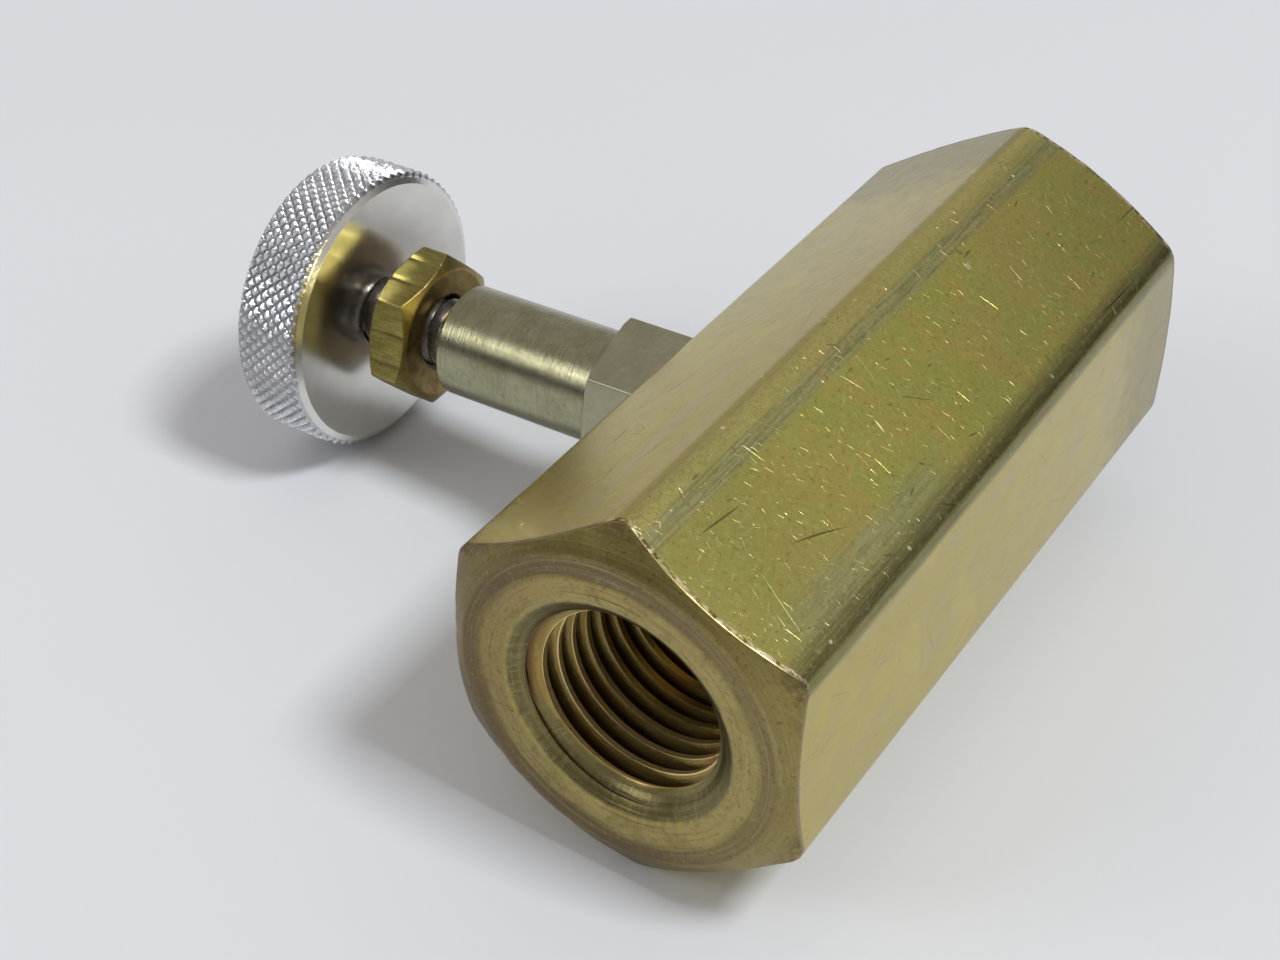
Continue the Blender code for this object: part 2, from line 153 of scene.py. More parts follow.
def mesh_piece(name, points, faces, place, material=None, sharp=30.0):
    """Mesh whose points are given in millimetres in the frame of its place."""
    mesh = bpy.data.meshes.new(name)
    turn = np.array(place.to_3x3())
    points = np.asarray(points, float) * MM @ turn.T + np.array(place.translation)
    mesh.from_pydata(points.tolist(), [], faces)
    mesh.validate()
    mesh.shade_smooth()
    mesh.set_sharp_from_angle(angle=math.radians(sharp))
    piece = bpy.data.objects.new(name, mesh)
    bpy.context.scene.collection.objects.link(piece)
    if material is not None:
        mesh.materials.append(material)
    return piece


def round_columns(count):
    angles = np.arange(count) * 2.0 * math.pi / count
    return angles, np.ones(count)


def hexagon_columns(across_flats, corner_radius, turn, flat_steps, arc_steps):
    """Angle and distance of points round a hexagon with rounded corners."""
    inner = across_flats / math.sqrt(3.0) - corner_radius / math.cos(math.pi / 6.0)
    points = []
    for corner in range(6):
        heading = turn + corner * math.pi / 3.0
        centre = inner * np.array([math.cos(heading), math.sin(heading)])
        arc = []
        for step in range(arc_steps + 1):
            angle = heading - math.pi / 6.0 + step * math.pi / 3.0 / arc_steps
            arc.append(centre + corner_radius * np.array([math.cos(angle), math.sin(angle)]))
        if points:
            points += between(points[-1], arc[0], flat_steps)
        points += arc
    points += between(points[-1], points[0], flat_steps)
    points = np.array(points)
    return np.arctan2(points[:, 1], points[:, 0]), np.hypot(points[:, 0], points[:, 1])


def between(start, end, steps):
    return [start + (end - start) * step / steps for step in range(1, steps)]


def profile_rows(corners, columns, ring=False):
    """Rows of (radius, height) from corners (radius, height, rounding), each a number or an array."""
    radii = [np.broadcast_to(np.asarray(c[0], float), (columns,)) for c in corners]
    heights = [np.broadcast_to(np.asarray(c[1], float), (columns,)) for c in corners]
    rows = []
    for index, corner in enumerate(corners):
        here = np.stack([radii[index], heights[index]])
        if corner[2] is None:
            rows.append(here)
            continue
        before = index - 1
        after = (index + 1) % len(corners)
        if not ring and (before < 0 or after == 0):
            rows.append(here)
            continue
        back = np.stack([radii[before], heights[before]]) - here
        ahead = np.stack([radii[after], heights[after]]) - here
        size_back = np.linalg.norm(back, axis=0)
        size_ahead = np.linalg.norm(ahead, axis=0)
        start = here + back / size_back * np.minimum(corner[2], 0.45 * size_back)
        end = here + ahead / size_ahead * np.minimum(corner[2], 0.45 * size_ahead)
        for t in (0.0, 0.25, 0.5, 0.75, 1.0):
            rows.append((1 - t) ** 2 * start + 2 * t * (1 - t) * here + t * t * end)
    rows = np.array(rows)
    return rows[:, 0], rows[:, 1]


def skin(angles, radii, heights, ring=False):
    """Points and faces of the closed skin over rows of points round the Z axis."""
    rows, columns = radii.shape
    points = []
    index = []
    for row in range(rows):
        if not ring and row in (0, rows - 1):
            index.append([len(points)] * columns)
            points.append((0.0, 0.0, float(heights[row].mean())))
            continue
        index.append(list(range(len(points), len(points) + columns)))
        points += np.stack([radii[row] * np.cos(angles), radii[row] * np.sin(angles),
                            heights[row]], axis=1).tolist()
    faces = []
    pairs = list(zip(index, index[1:]))
    if ring:
        pairs.append((index[-1], index[0]))
    for lower, upper in pairs:
        for column in range(columns):
            after = (column + 1) % columns
            face = (lower[column], lower[after], upper[after], upper[column])
            faces.append(tuple(dict.fromkeys(face)))
    return points, faces


def lathed(name, corners, place, material=None, columns=None, ring=False, sharp=30.0):
    """Closed piece turned, or carried round a hexagon, from a profile that runs up its outside."""
    angles, _ = columns or round_columns(128)
    radii, heights = profile_rows(corners, len(angles), ring)
    points, faces = skin(angles, radii, heights, ring)
    return mesh_piece(name, points, faces, place, material, sharp)


def threaded(name, place, start, end, pitch, base, profile, columns=128, material=None):
    """Screw-shaped solid. base(height) is its middle radius; profile holds (phase, offset) pairs."""
    samples = len(profile)
    turns = int(round((end - start) / pitch))
    total = turns * samples
    phase = np.array([p[0] for p in profile])
    offset = np.array([p[1] for p in profile])
    step = np.arange(total + 1)
    along = start + pitch * (step // samples + phase[step % samples])
    points = []
    for column in range(columns):
        height = along + pitch * column / columns
        radius = base(height) + offset[step % samples]
        angle = 2.0 * math.pi * column / columns
        points.append(np.stack([radius * math.cos(angle), radius * math.sin(angle), height], axis=1))
    points = np.array(points)
    size = total + 1
    faces = []
    for column in range(columns - 1):
        a = column * size
        b = a + size
        for j in range(total):
            faces.append((a + j, b + j, b + j + 1, a + j + 1))
    last = (columns - 1) * size
    for j in range(total - samples):
        faces.append((last + j, j + samples, j + samples + 1, last + j + 1))
    flat = points.reshape(-1, 3)
    low_loop = [column * size for column in range(columns)] + list(range(samples, 0, -1))
    high_loop = [column * size + total for column in range(columns)]
    high_loop += [last + j for j in range(total - 1, total - samples - 1, -1)]
    centres = []
    for loop, flip in ((low_loop, True), (high_loop, False)):
        centre = len(flat) + len(centres)
        centres.append([0.0, 0.0, float(flat[loop][:, 2].mean())])
        for a, b in zip(loop, loop[1:] + loop[:1]):
            faces.append((b, a, centre) if flip else (a, b, centre))
    return mesh_piece(name, np.vstack([flat, centres]), faces, place, material)


def combine(piece, tools, operation="DIFFERENCE", sharp=30.0):
    """Cut or join the tools into the piece for good, and remove them."""
    for tool in tools:
        step = piece.modifiers.new("combine", "BOOLEAN")
        step.operation = operation
        step.solver = "EXACT"
        step.object = tool
    graph = bpy.context.evaluated_depsgraph_get()
    mesh = bpy.data.meshes.new_from_object(piece.evaluated_get(graph))
    piece.modifiers.clear()
    piece.data = mesh
    mesh.shade_smooth()
    mesh.set_sharp_from_angle(angle=math.radians(sharp))
    for tool in tools:
        bpy.data.objects.remove(tool, do_unlink=True)
    return piece


# ------------------------------------------------------------ material helpers

class Shade:
    """Writes the nodes of one material, in millimetres of the valve frame. Values may be sockets."""

    def __init__(self, name):
        self.material = bpy.data.materials.new(name)
        self.material.use_nodes = True
        self.tree = self.material.node_tree
        self.shader = self.tree.nodes["Principled BSDF"]
        local = self.add("ShaderNodeMapping", vector_type="TEXTURE")
        self.put(local.inputs["Vector"], self.add("ShaderNodeTexCoord").outputs["Object"])
        self.put(local.inputs["Location"], VALVE.translation)
        self.put(local.inputs["Rotation"], VALVE.to_euler())
        self.put(local.inputs["Scale"], (MM, MM, MM))
        self.place = local.outputs[0]
        self.x, self.y, self.z = self.split(self.place)

    def add(self, kind, **settings):
        node = self.tree.nodes.new(kind)
        for key, value in settings.items():
            setattr(node, key, value)
        return node

    def put(self, socket, value):
        if isinstance(value, bpy.types.NodeSocket):
            self.tree.links.new(value, socket)
        else:
            socket.default_value = value

    def calc(self, operation, a, b=0.0, c=0.0, clamp=False):
        node = self.add("ShaderNodeMath", operation=operation, use_clamp=clamp)
        for socket, value in zip(node.inputs, (a, b, c)):
            self.put(socket, value)
        return node.outputs[0]

    def vector(self, operation, a, b=None, scale=None):
        node = self.add("ShaderNodeVectorMath", operation=operation)
        self.put(node.inputs[0], a)
        if b is not None:
            self.put(node.inputs[1], b)
        if scale is not None:
            self.put(node.inputs["Scale"], scale)
        return node.outputs["Vector"]

    def split(self, value):
        node = self.add("ShaderNodeSeparateXYZ")
        self.put(node.inputs[0], value)
        return node.outputs[0], node.outputs[1], node.outputs[2]

    def join(self, x, y, z=0.0):
        node = self.add("ShaderNodeCombineXYZ")
        for socket, value in zip(node.inputs, (x, y, z)):
            self.put(socket, value)
        return node.outputs[0]

    def noise(self, place, scale, detail=3.0, rough=0.5, warp=0.0):
        node = self.add("ShaderNodeTexNoise")
        self.put(node.inputs["Vector"], place)
        self.put(node.inputs["Scale"], scale)
        self.put(node.inputs["Detail"], detail)
        self.put(node.inputs["Roughness"], rough)
        self.put(node.inputs["Distortion"], warp)
        return node.outputs["Fac"]

    def band(self, value, low, high, out_low=0.0, out_high=1.0):
        """Smooth step of the value from low to high."""
        node = self.add("ShaderNodeMapRange", interpolation_type="SMOOTHSTEP")
        for socket, item in zip(node.inputs, (value, low, high, out_low, out_high)):
            self.put(socket, item)
        return node.outputs[0]

    def mix(self, factor, a, b):
        """Colour between a and b."""
        node = self.add("ShaderNodeMix", data_type="RGBA")
        self.put(node.inputs[0], factor)
        for socket, value in ((node.inputs[6], a), (node.inputs[7], b)):
            self.put(socket, (*value, 1.0) if isinstance(value, tuple) else value)
        return node.outputs[2]

    def fade(self, factor, a, b):
        """Number between a and b."""
        node = self.add("ShaderNodeMix", data_type="FLOAT")
        for socket, value in zip((node.inputs[0], node.inputs[2], node.inputs[3]), (factor, a, b)):
            self.put(socket, value)
        return node.outputs[0]

    def times(self, *values):
        result = values[0]
        for value in values[1:]:
            result = self.calc("MULTIPLY", result, value)
        return result

    def plus(self, *values):
        result = values[0]
        for value in values[1:]:
            result = self.calc("ADD", result, value)
        return result

    def most(self, *values):
        result = values[0]
        for value in values[1:]:
            result = self.calc("MAXIMUM", result, value)
        return result

    def bump(self, height, distance, normal=None):
        """Surface relief: height in 0..1 is the given number of millimetres."""
        node = self.add("ShaderNodeBump")
        self.put(node.inputs["Height"], height)
        self.put(node.inputs["Distance"], distance * MM)
        self.put(node.inputs["Strength"], 1.0)
        if normal is not None:
            self.put(node.inputs["Normal"], normal)
        return node.outputs[0]

    def scratches(self, place, cell, width, reach, share, heading=0.0, spread=math.pi, bend=0.0):
        """Short tapering lines on a flat place, one in each share of the cells, about the heading given."""
        node = self.add("ShaderNodeTexVoronoi", voronoi_dimensions="2D")
        scaled = self.vector("SCALE", place, scale=1.0 / cell)
        self.put(node.inputs["Vector"], scaled)
        self.put(node.inputs["Scale"], 1.0)
        across, up, _ = self.split(self.vector("SUBTRACT", scaled, node.outputs["Position"]))
        chance, curl, length = self.split(node.outputs["Color"])
        swing = self.calc("SUBTRACT", self.calc("FRACT", self.times(chance, 7.3)), 0.5)
        angle = self.calc("MULTIPLY_ADD", swing, spread, heading)
        cosine = self.calc("COSINE", angle)
        sine = self.calc("SINE", angle)
        u = self.plus(self.times(across, cosine), self.times(up, sine))
        v = self.calc("SUBTRACT", self.times(up, cosine), self.times(across, sine))
        if bend:
            v = self.plus(v, self.times(self.calc("SUBTRACT", curl, 0.5), u, u, bend * 8.0))
        half = self.times(self.plus(length, 0.25), reach / cell)
        ratio = self.calc("DIVIDE", u, half)
        thin = self.plus(self.calc("ABSOLUTE", v), self.times(ratio, ratio, width / cell))
        line = self.band(thin, 0.3 * width / cell, width / cell, 1.0, 0.0)
        strength = self.plus(0.4, self.times(self.calc("FRACT", self.times(chance, 31.7)), 0.6))
        return self.times(line, strength, self.calc("LESS_THAN", chance, share))

    def spots(self, place, cell, size, share):
        """Small round marks, one in each share of the cells."""
        node = self.add("ShaderNodeTexVoronoi", voronoi_dimensions="3D")
        self.put(node.inputs["Vector"], place)
        self.put(node.inputs["Scale"], 1.0 / cell)
        chance, growth, _ = self.split(node.outputs["Color"])
        reach = self.times(self.plus(growth, 0.35), size / cell)
        near = self.band(self.calc("DIVIDE", node.outputs["Distance"], reach), 0.3, 1.0, 1.0, 0.0)
        return self.times(near, self.calc("LESS_THAN", chance, share))

    def finish(self, colour, roughness, normal=None, metallic=1.0):
        self.put(self.shader.inputs["Base Color"], (*colour, 1.0) if isinstance(colour, tuple) else colour)
        self.put(self.shader.inputs["Roughness"], roughness)
        self.put(self.shader.inputs["Metallic"], metallic)
        if normal is not None:
            self.put(self.shader.inputs["Normal"], normal)
        return self.material


# -------------------------------------------------------------------- materials

def body_brass():
    """Drawn brass bar: tarnished, scratched flats, turned ends and cut threads."""
    s = Shade("body_brass")
    half = BODY_LENGTH / 2.0
    radius = s.calc("SQRT", s.plus(s.times(s.y, s.y), s.times(s.z, s.z)))
    angle = s.calc("ARCTAN2", s.z, s.y)
    sixth = math.pi / 3.0
    flat = s.calc("FLOOR", s.calc("ADD", s.calc("DIVIDE", angle, sixth), 0.5))
    across = s.times(radius, s.calc("SINE", s.calc("SUBTRACT", angle, s.times(flat, sixth))))
    place = s.join(s.x, s.plus(across, s.times(flat, 40.0)))
    along = s.calc("ABSOLUTE", s.x)
    slope = s.times(s.calc("MAXIMUM", s.calc("SUBTRACT", radius, BODY_FACE_RADIUS), 0.0), CHAMFER_SLOPE)
    past = s.plus(along, slope)
    ends = s.band(past, half - 0.10, half - 0.02)
    ragged = s.noise(s.place, 1.6, 3.0, 0.7)
    inside = s.band(s.plus(radius, s.times(ragged, 0.5)), PORT_MOUTH - 0.15, PORT_MOUTH + 0.45, 1.0, 0.0)

    colour, rough, relief = flat_finish(s, place, across, angle)
    end_colour, end_rough, end_relief = end_finish(s, radius, angle)
    bore_colour, bore_rough, bore_relief = bore_finish(s, radius, angle, s.calc("SUBTRACT", half, along))
    crease_glint_and_shade = s.times(s.band(s.plus(past, s.times(ragged, 0.20)), half - 0.30, half - 0.12),
                     s.band(past, half - 0.06, half, 1.0, 0.0), s.band(radius, 10.7, 10.95))
    # Painted highlight along the end crease, strongest on the upper flat that faces the lamp, and painted
    # shade along the rest of the crease.
    top = s.band(s.calc("COSINE", s.calc("SUBTRACT", angle, math.radians(118))), 0.80, 0.88)
    colour = s.mix(s.times(crease_glint_and_shade, s.band(ragged, 0.42, 0.62), s.plus(0.12, s.times(top, 0.78))), colour,
                   (1.0, 0.84, 0.58))
    dull = s.most(s.band(ragged, 0.50, 0.38), s.calc("SUBTRACT", 0.75, s.times(top, 0.75)))
    colour = s.mix(s.times(crease_glint_and_shade, dull, 0.85), colour, (0.115, 0.070, 0.040))
    colour = s.mix(ends, colour, end_colour)
    colour = s.mix(inside, colour, bore_colour)
    rough = s.fade(inside, s.fade(ends, rough, end_rough), bore_rough)
    relief = s.fade(inside, s.fade(ends, relief, end_relief), bore_relief)
    metallic = s.fade(inside, 0.94, 0.80)
    return s.finish(colour, rough, s.bump(relief, 0.02), metallic)


def flat_finish(s, place, across, angle):
    """Drawn flats: cloudy tarnish, drawing streaks, worn corners and scratches; the upper flat also carries a
    painted reflection tint, painted shade at its near end and painted glints on its scratches, and one edge a
    painted dark reflection.
    """
    # The upper flat: worn and scratched, and tinted with a painted reflection of the room above it.
    wear_and_reflection_flat = s.band(s.calc("COSINE", s.calc("SUBTRACT", angle, math.radians(120))), 0.84, 0.88)
    cloud = s.noise(s.place, 0.20, 3.0, 0.55, 0.5)
    mottle = s.noise(s.place, 0.70, 6.0, 0.68, 0.4)
    grain = s.noise(s.place, 3.2, 5.0, 0.8)
    lines = s.noise(s.vector("MULTIPLY", place, (0.035, 1.0, 1.0)), 5.0, 5.0, 0.75)
    stripes = s.noise(s.vector("MULTIPLY", place, (0.05, 0.8, 1.0)), 0.9, 3.0, 0.5)
    drift = s.noise(s.vector("MULTIPLY", place, (0.12, 1.0, 1.0)), 0.9, 3.0, 0.6)
    wander = s.times(s.calc("SUBTRACT", drift, 0.5), 1.2)
    off_middle = s.calc("ABSOLUTE", s.plus(across, s.times(wander, 0.4)))
    corner = s.band(off_middle, 5.2, 5.9)
    patchy = s.band(mottle, 0.34, 0.56)
    streak = s.times(s.band(s.plus(across, s.times(wander, 0.15)), -5.25, -5.0),
                     s.band(across, -4.1, -3.7, 1.0, 0.0),
                     s.plus(0.55, s.times(patchy, 0.45)))
    wide = s.times(s.band(s.plus(across, wander), 2.2, 4.0), s.band(s.x, -25.0, -20.0),
                   s.band(s.x, -10.0, -3.0, 1.0, 0.0), s.plus(0.6, s.times(patchy, 0.4)))
    # Painted dark reflection along the corner between the upper flat and the flat beside it away from the
    # stem, where the rounded corner faces the dim side of the room.
    off_edge = s.calc("SUBTRACT", s.plus(angle, s.times(wander, 0.03)), math.radians(148.8))
    edge_dark_reflection = s.times(s.band(off_edge, math.radians(-7.5), math.radians(-1.6)),
                        s.band(off_edge, math.radians(3.8), math.radians(6.2), 1.0, 0.0))
    gold_edge = s.band(s.plus(across, s.times(wander, 0.2)), -4.9, -5.4)

    # Tones of the upper flat, partly tarnish and partly a painted reflection: greener and more olive than the
    # other flats.
    tone = s.plus(s.times(cloud, 0.45), s.times(mottle, 0.55))
    upper_flat_colour = s.mix(s.band(tone, 0.43, 0.57), (0.575, 0.480, 0.132), (0.480, 0.485, 0.120))
    upper_flat_colour = s.mix(s.times(s.band(mottle, 0.53, 0.70), 0.45), upper_flat_colour, (0.63, 0.585, 0.205))
    upper_flat_colour = s.mix(s.times(s.band(cloud, 0.47, 0.35), 0.4), upper_flat_colour, (0.52, 0.435, 0.128))
    # Painted shade: the upper flat darker towards its near end.
    upper_flat_colour = s.mix(s.times(s.band(s.x, -9.0, -22.0), 0.55), upper_flat_colour, (0.40, 0.365, 0.115))
    drawn = s.mix(s.band(lines, 0.38, 0.60), (0.24, 0.24, 0.11), (0.50, 0.49, 0.26))
    upper_flat_colour = s.mix(s.times(streak, 0.75), upper_flat_colour, drawn)
    rubbed = s.mix(s.band(lines, 0.36, 0.62), (0.29, 0.295, 0.15), (0.49, 0.50, 0.28))
    upper_flat_colour = s.mix(s.times(wide, 0.65), upper_flat_colour, rubbed)
    gold = s.mix(s.band(grain, 0.35, 0.62), (0.38, 0.32, 0.09), (0.74, 0.65, 0.27))
    upper_flat_colour = s.mix(s.times(gold_edge, 0.7), upper_flat_colour, gold)
    clean = s.mix(s.band(stripes, 0.40, 0.62), (0.545, 0.452, 0.185), (0.545, 0.450, 0.130))
    clean = s.mix(s.times(s.band(cloud, 0.50, 0.66), 0.7), clean, (0.60, 0.495, 0.135))
    clean = s.mix(s.times(s.band(mottle, 0.54, 0.72), 0.4), clean, (0.43, 0.34, 0.16))
    clean = s.mix(s.times(corner, 0.5), clean, (0.50, 0.42, 0.15))
    far = s.band(s.plus(s.x, s.times(mottle, 6.0)), 18.0, 25.0)
    clean = s.mix(s.times(far, 0.75), clean, (0.31, 0.265, 0.105))
    colour = s.mix(wear_and_reflection_flat, clean, upper_flat_colour)
    colour = s.mix(s.times(edge_dark_reflection, 0.90), colour,
                   s.mix(s.band(lines, 0.35, 0.65), (0.15, 0.14, 0.05), (0.27, 0.25, 0.10)))
    grime = s.times(s.band(grain, 0.54, 0.68), s.plus(0.16, s.times(wear_and_reflection_flat, 0.5)))
    colour = s.mix(grime, colour, (0.20, 0.18, 0.05))
    colour = s.mix(s.times(s.band(grain, 0.46, 0.32), 0.5, wear_and_reflection_flat), colour, (0.72, 0.67, 0.30))
    colour = s.mix(s.times(s.band(lines, 0.56, 0.72), 0.25), colour, (0.28, 0.26, 0.12))

    bright, dark, hair, pits, nicks, cuts = flat_marks(s, place, across, corner, wear_and_reflection_flat)
    # Scratches and nicks show fresh brass, and are painted brighter still as glints, mostly on the upper flat
    # that faces the lamp.
    colour = s.mix(bright, colour, (1.0, 0.92, 0.60))
    colour = s.mix(s.times(dark, wear_and_reflection_flat, 0.8), colour, (0.10, 0.09, 0.035))
    colour = s.mix(s.times(hair, s.calc("SUBTRACT", 0.70, s.times(wear_and_reflection_flat, 0.40))), colour, (0.20, 0.16, 0.08))
    colour = s.mix(s.times(pits, 0.45), colour, (0.22, 0.18, 0.07))
    colour = s.mix(s.times(nicks, 0.8), colour, (0.95, 0.86, 0.52))

    rough = s.plus(0.14, s.times(mottle, 0.10), s.times(lines, 0.07), s.times(grain, 0.05))
    rough = s.plus(rough, s.times(bright, 0.35))
    relief = s.plus(s.times(mottle, 0.60), s.times(grain, 0.42), s.times(lines, 0.30, s.plus(corner, 0.4)))
    return colour, rough, s.calc("SUBTRACT", relief, cuts)


def flat_marks(s, place, across, corner, wear_and_reflection_flat):
    """Scratches, chips, pits and nicks on the flats, and how deep they all cut."""
    moved = lambda x, y: s.vector("ADD", place, (x, y, 0.0))
    fine = s.scratches(place, 0.62, 0.020, 0.30, 0.55, 1.85, 2.2)
    middle = s.scratches(moved(17.3, 5.1), 1.9, 0.030, 0.80, 0.42, 1.80, 1.4)
    long = s.scratches(moved(41.0, 15.7), 9.0, 0.032, 2.2, 0.20, 1.60, 0.8, 0.03)
    bold = s.scratches(moved(7.9, 33.3), 3.3, 0.100, 0.46, 0.34, 1.90, 1.3)
    dark = s.scratches(moved(3.7, 61.9), 6.5, 0.085, 2.4, 0.50, 0.45, 1.1, 0.04)
    chips = s.scratches(moved(9.7, 41.9), 2.4, 0.110, 0.42, 0.30, 0.60, 1.8)
    hair = s.scratches(moved(11.2, 21.4), 2.9, 0.034, 2.0, 0.55, 0.35, 1.6, 0.02)
    pits = s.spots(s.vector("ADD", s.place, (5.0, 5.0, 5.0)), 1.9, 0.20, 0.35)
    nicks = s.times(s.spots(s.place, 0.8, 0.17, 0.45), s.plus(s.times(corner, 0.9), s.times(wear_and_reflection_flat, 0.22)))
    zone = s.noise(moved(2.0, 9.0), 0.30, 3.0, 0.6)
    middle_zone = s.times(s.band(across, -5.6, -3.2), s.band(across, 5.4, 3.4, 0.0, 1.0))
    wear = s.times(s.band(zone, 0.44, 0.62), s.plus(0.15, s.times(middle_zone, 0.75)))
    # Scratches that catch the light, painted as glints, mostly on the upper flat.
    bright = s.most(s.times(fine, 0.65, wear), s.times(middle, s.plus(s.times(wear, 0.85), 0.05)),
                    s.times(bold, s.plus(s.times(wear, 0.95), 0.05)), s.times(long, 0.28))
    bright = s.times(bright, s.plus(s.times(wear_and_reflection_flat, 0.90), 0.10))
    cuts = s.plus(s.times(middle, 0.5), s.times(dark, 0.8), s.times(fine, 0.25), s.times(nicks, 0.5),
                  s.times(hair, 0.2), s.times(bold, 0.7), s.times(pits, 0.4), s.times(long, 0.4))
    return bright, s.most(dark, s.times(chips, 0.8)), hair, pits, nicks, cuts


def end_finish(s, radius, angle):
    """Turned ends: tool rings with purple-brown and pale tarnish, dull chamfer."""
    drift = s.times(s.calc("SUBTRACT", s.noise(s.place, 0.22, 3.0, 0.5), 0.5), 1.0)
    ring = s.plus(radius, drift)
    tool = s.noise(s.join(radius, 0.0), 1.8, 4.0, 0.7)
    fine = s.noise(s.join(radius, 3.0), 7.0, 3.0, 0.75)
    arcs = s.noise(s.join(s.times(radius, 4.0), s.times(angle, 0.8)), 1.0, 3.0, 0.6)
    arcs_two = s.noise(s.join(s.times(radius, 9.0), s.times(angle, 1.1), 5.0), 1.0, 3.0, 0.6)
    stain = s.noise(s.place, 0.7, 6.0, 0.7, 0.6)
    speck = s.noise(s.place, 3.5, 4.0, 0.75)
    face = s.band(radius, BODY_FACE_RADIUS, BODY_FACE_RADIUS + 0.3, 1.0, 0.0)
    colour = s.mix(s.band(tool, 0.35, 0.65), (0.205, 0.158, 0.052), (0.33, 0.262, 0.085))
    pale = s.times(s.band(ring, 7.25, 7.70), s.band(ring, 8.7, 9.3, 1.0, 0.0))
    brown = s.times(s.band(ring, 9.0, 9.5), s.band(ring, 10.1, 10.7, 1.0, 0.0))
    colour = s.mix(s.times(pale, 0.85), colour, (0.46, 0.355, 0.130))
    colour = s.mix(s.times(brown, 0.80), colour, (0.165, 0.112, 0.070))
    colour = s.mix(s.times(s.band(arcs, 0.50, 0.66), face, 0.5), colour, (0.37, 0.32, 0.145))
    colour = s.mix(s.times(s.band(arcs, 0.48, 0.34), face, 0.6), colour, (0.14, 0.098, 0.048))
    colour = s.mix(s.times(s.band(arcs_two, 0.56, 0.70), 0.45), colour, (0.38, 0.33, 0.17))
    colour = s.mix(s.times(s.band(arcs_two, 0.44, 0.30), 0.45), colour, (0.12, 0.09, 0.045))
    colour = s.mix(s.times(s.band(stain, 0.50, 0.62), 0.5), colour, (0.215, 0.180, 0.055))
    # Painted shade on the stem's side of each end face and painted light on the side towards the lamp.
    colour = s.mix(s.times(s.band(s.y, 0.0, 10.0), 0.40), colour, (0.135, 0.086, 0.042))
    colour = s.mix(s.times(s.band(s.y, 0.0, -10.0), 0.28), colour, (0.42, 0.345, 0.125))
    edge = s.times(s.band(radius, 11.2, 12.7), s.band(stain, 0.38, 0.58))
    colour = s.mix(s.times(edge, 0.80), colour, (0.095, 0.062, 0.032))
    colour = s.mix(s.times(s.band(speck, 0.55, 0.68), 0.55), colour, (0.085, 0.060, 0.026))
    colour = s.mix(s.times(s.band(speck, 0.43, 0.30), 0.45), colour, (0.43, 0.36, 0.15))
    rough = s.plus(0.25, s.times(tool, 0.10), s.times(stain, 0.12))
    relief = s.plus(s.times(fine, 0.6), s.times(tool, 0.7), s.times(stain, 0.6), s.times(speck, 0.35))
    return colour, rough, relief


def bore_finish(s, radius, angle, depth):
    """Countersink and threads: dull brushed cone, painted shade in the brown roots, painted highlight on the
    crests.
    """
    cloud = s.noise(s.place, 0.9, 4.0, 0.6, 0.5)
    speck = s.noise(s.place, 5.0, 4.0, 0.7)
    patch = s.noise(s.place, 0.35, 2.0, 0.5)
    cylinder = s.plus(radius, s.times(depth, PIPE_TAPER))
    rings = s.noise(s.join(radius, s.times(depth, 0.7)), 4.5, 5.0, 0.8)
    chatter = s.noise(s.join(s.times(angle, 22.0), s.times(radius, 0.5)), 1.6, 4.0, 0.75)
    along = s.join(s.times(angle, 1.2), s.times(cylinder, 3.0), s.times(depth, 0.7))
    helix = s.noise(along, 1.3, 4.0, 0.7)
    early = s.times(s.band(cylinder, 6.2, 6.7), s.band(depth, 0.8, 1.0), 0.3)
    cut = s.band(s.plus(depth, early), 1.16, 1.32)
    # Where the thread's roots and crests lie, for painted shade and painted highlight.
    root_shade = s.times(s.band(cylinder, 6.08, 6.60), cut)
    crest_highlight = s.times(s.band(cylinder, 5.84, 5.93, 1.0, 0.0), cut)
    cone = s.mix(s.band(rings, 0.36, 0.64), (0.120, 0.094, 0.036), (0.270, 0.222, 0.085))
    cone = s.mix(s.times(s.band(cloud, 0.46, 0.66), 0.5), cone, (0.21, 0.190, 0.080))
    cone = s.mix(s.times(s.band(chatter, 0.52, 0.68), 0.5), cone, (0.42, 0.37, 0.18))
    cone = s.mix(s.times(s.band(chatter, 0.46, 0.34), 0.5), cone, (0.10, 0.08, 0.035))
    rim = s.times(s.band(radius, 6.95, 7.25), s.band(radius, 7.30, 7.65, 1.0, 0.0),
                  s.band(patch, 0.36, 0.60))
    cone = s.mix(s.times(rim, s.band(speck, 0.40, 0.62), 0.6), cone, (0.07, 0.050, 0.023))
    walls = s.mix(cloud, (0.31, 0.225, 0.065), (0.42, 0.335, 0.100))
    walls = s.mix(s.times(s.band(patch, 0.48, 0.62), 0.55), walls, (0.42, 0.235, 0.065))
    walls = s.mix(s.times(s.band(helix, 0.50, 0.66), 0.5), walls, (0.20, 0.130, 0.045))
    walls = s.mix(s.times(s.band(helix, 0.46, 0.34), 0.4), walls, (0.62, 0.50, 0.18))
    colour = s.mix(cut, cone, walls)
    # Painted shade in the thread roots and painted highlight along the crests.
    colour = s.mix(s.times(root_shade, 0.85), colour, (0.12, 0.055, 0.022))
    colour = s.mix(crest_highlight, colour, (0.98, 0.78, 0.34))
    colour = s.mix(s.times(s.band(speck, 0.54, 0.68), cut, 0.45), colour, (0.11, 0.065, 0.03))
    rough = s.plus(s.fade(cut, 0.19, 0.20), s.times(cloud, 0.10))
    relief = s.plus(s.times(rings, s.fade(cut, 1.2, 0.3)), s.times(chatter, s.fade(cut, 0.9, 0.0)),
                    s.times(cloud, 0.4), s.times(speck, 0.2), s.times(helix, s.fade(cut, 0.0, 0.8)))
    return colour, rough, relief


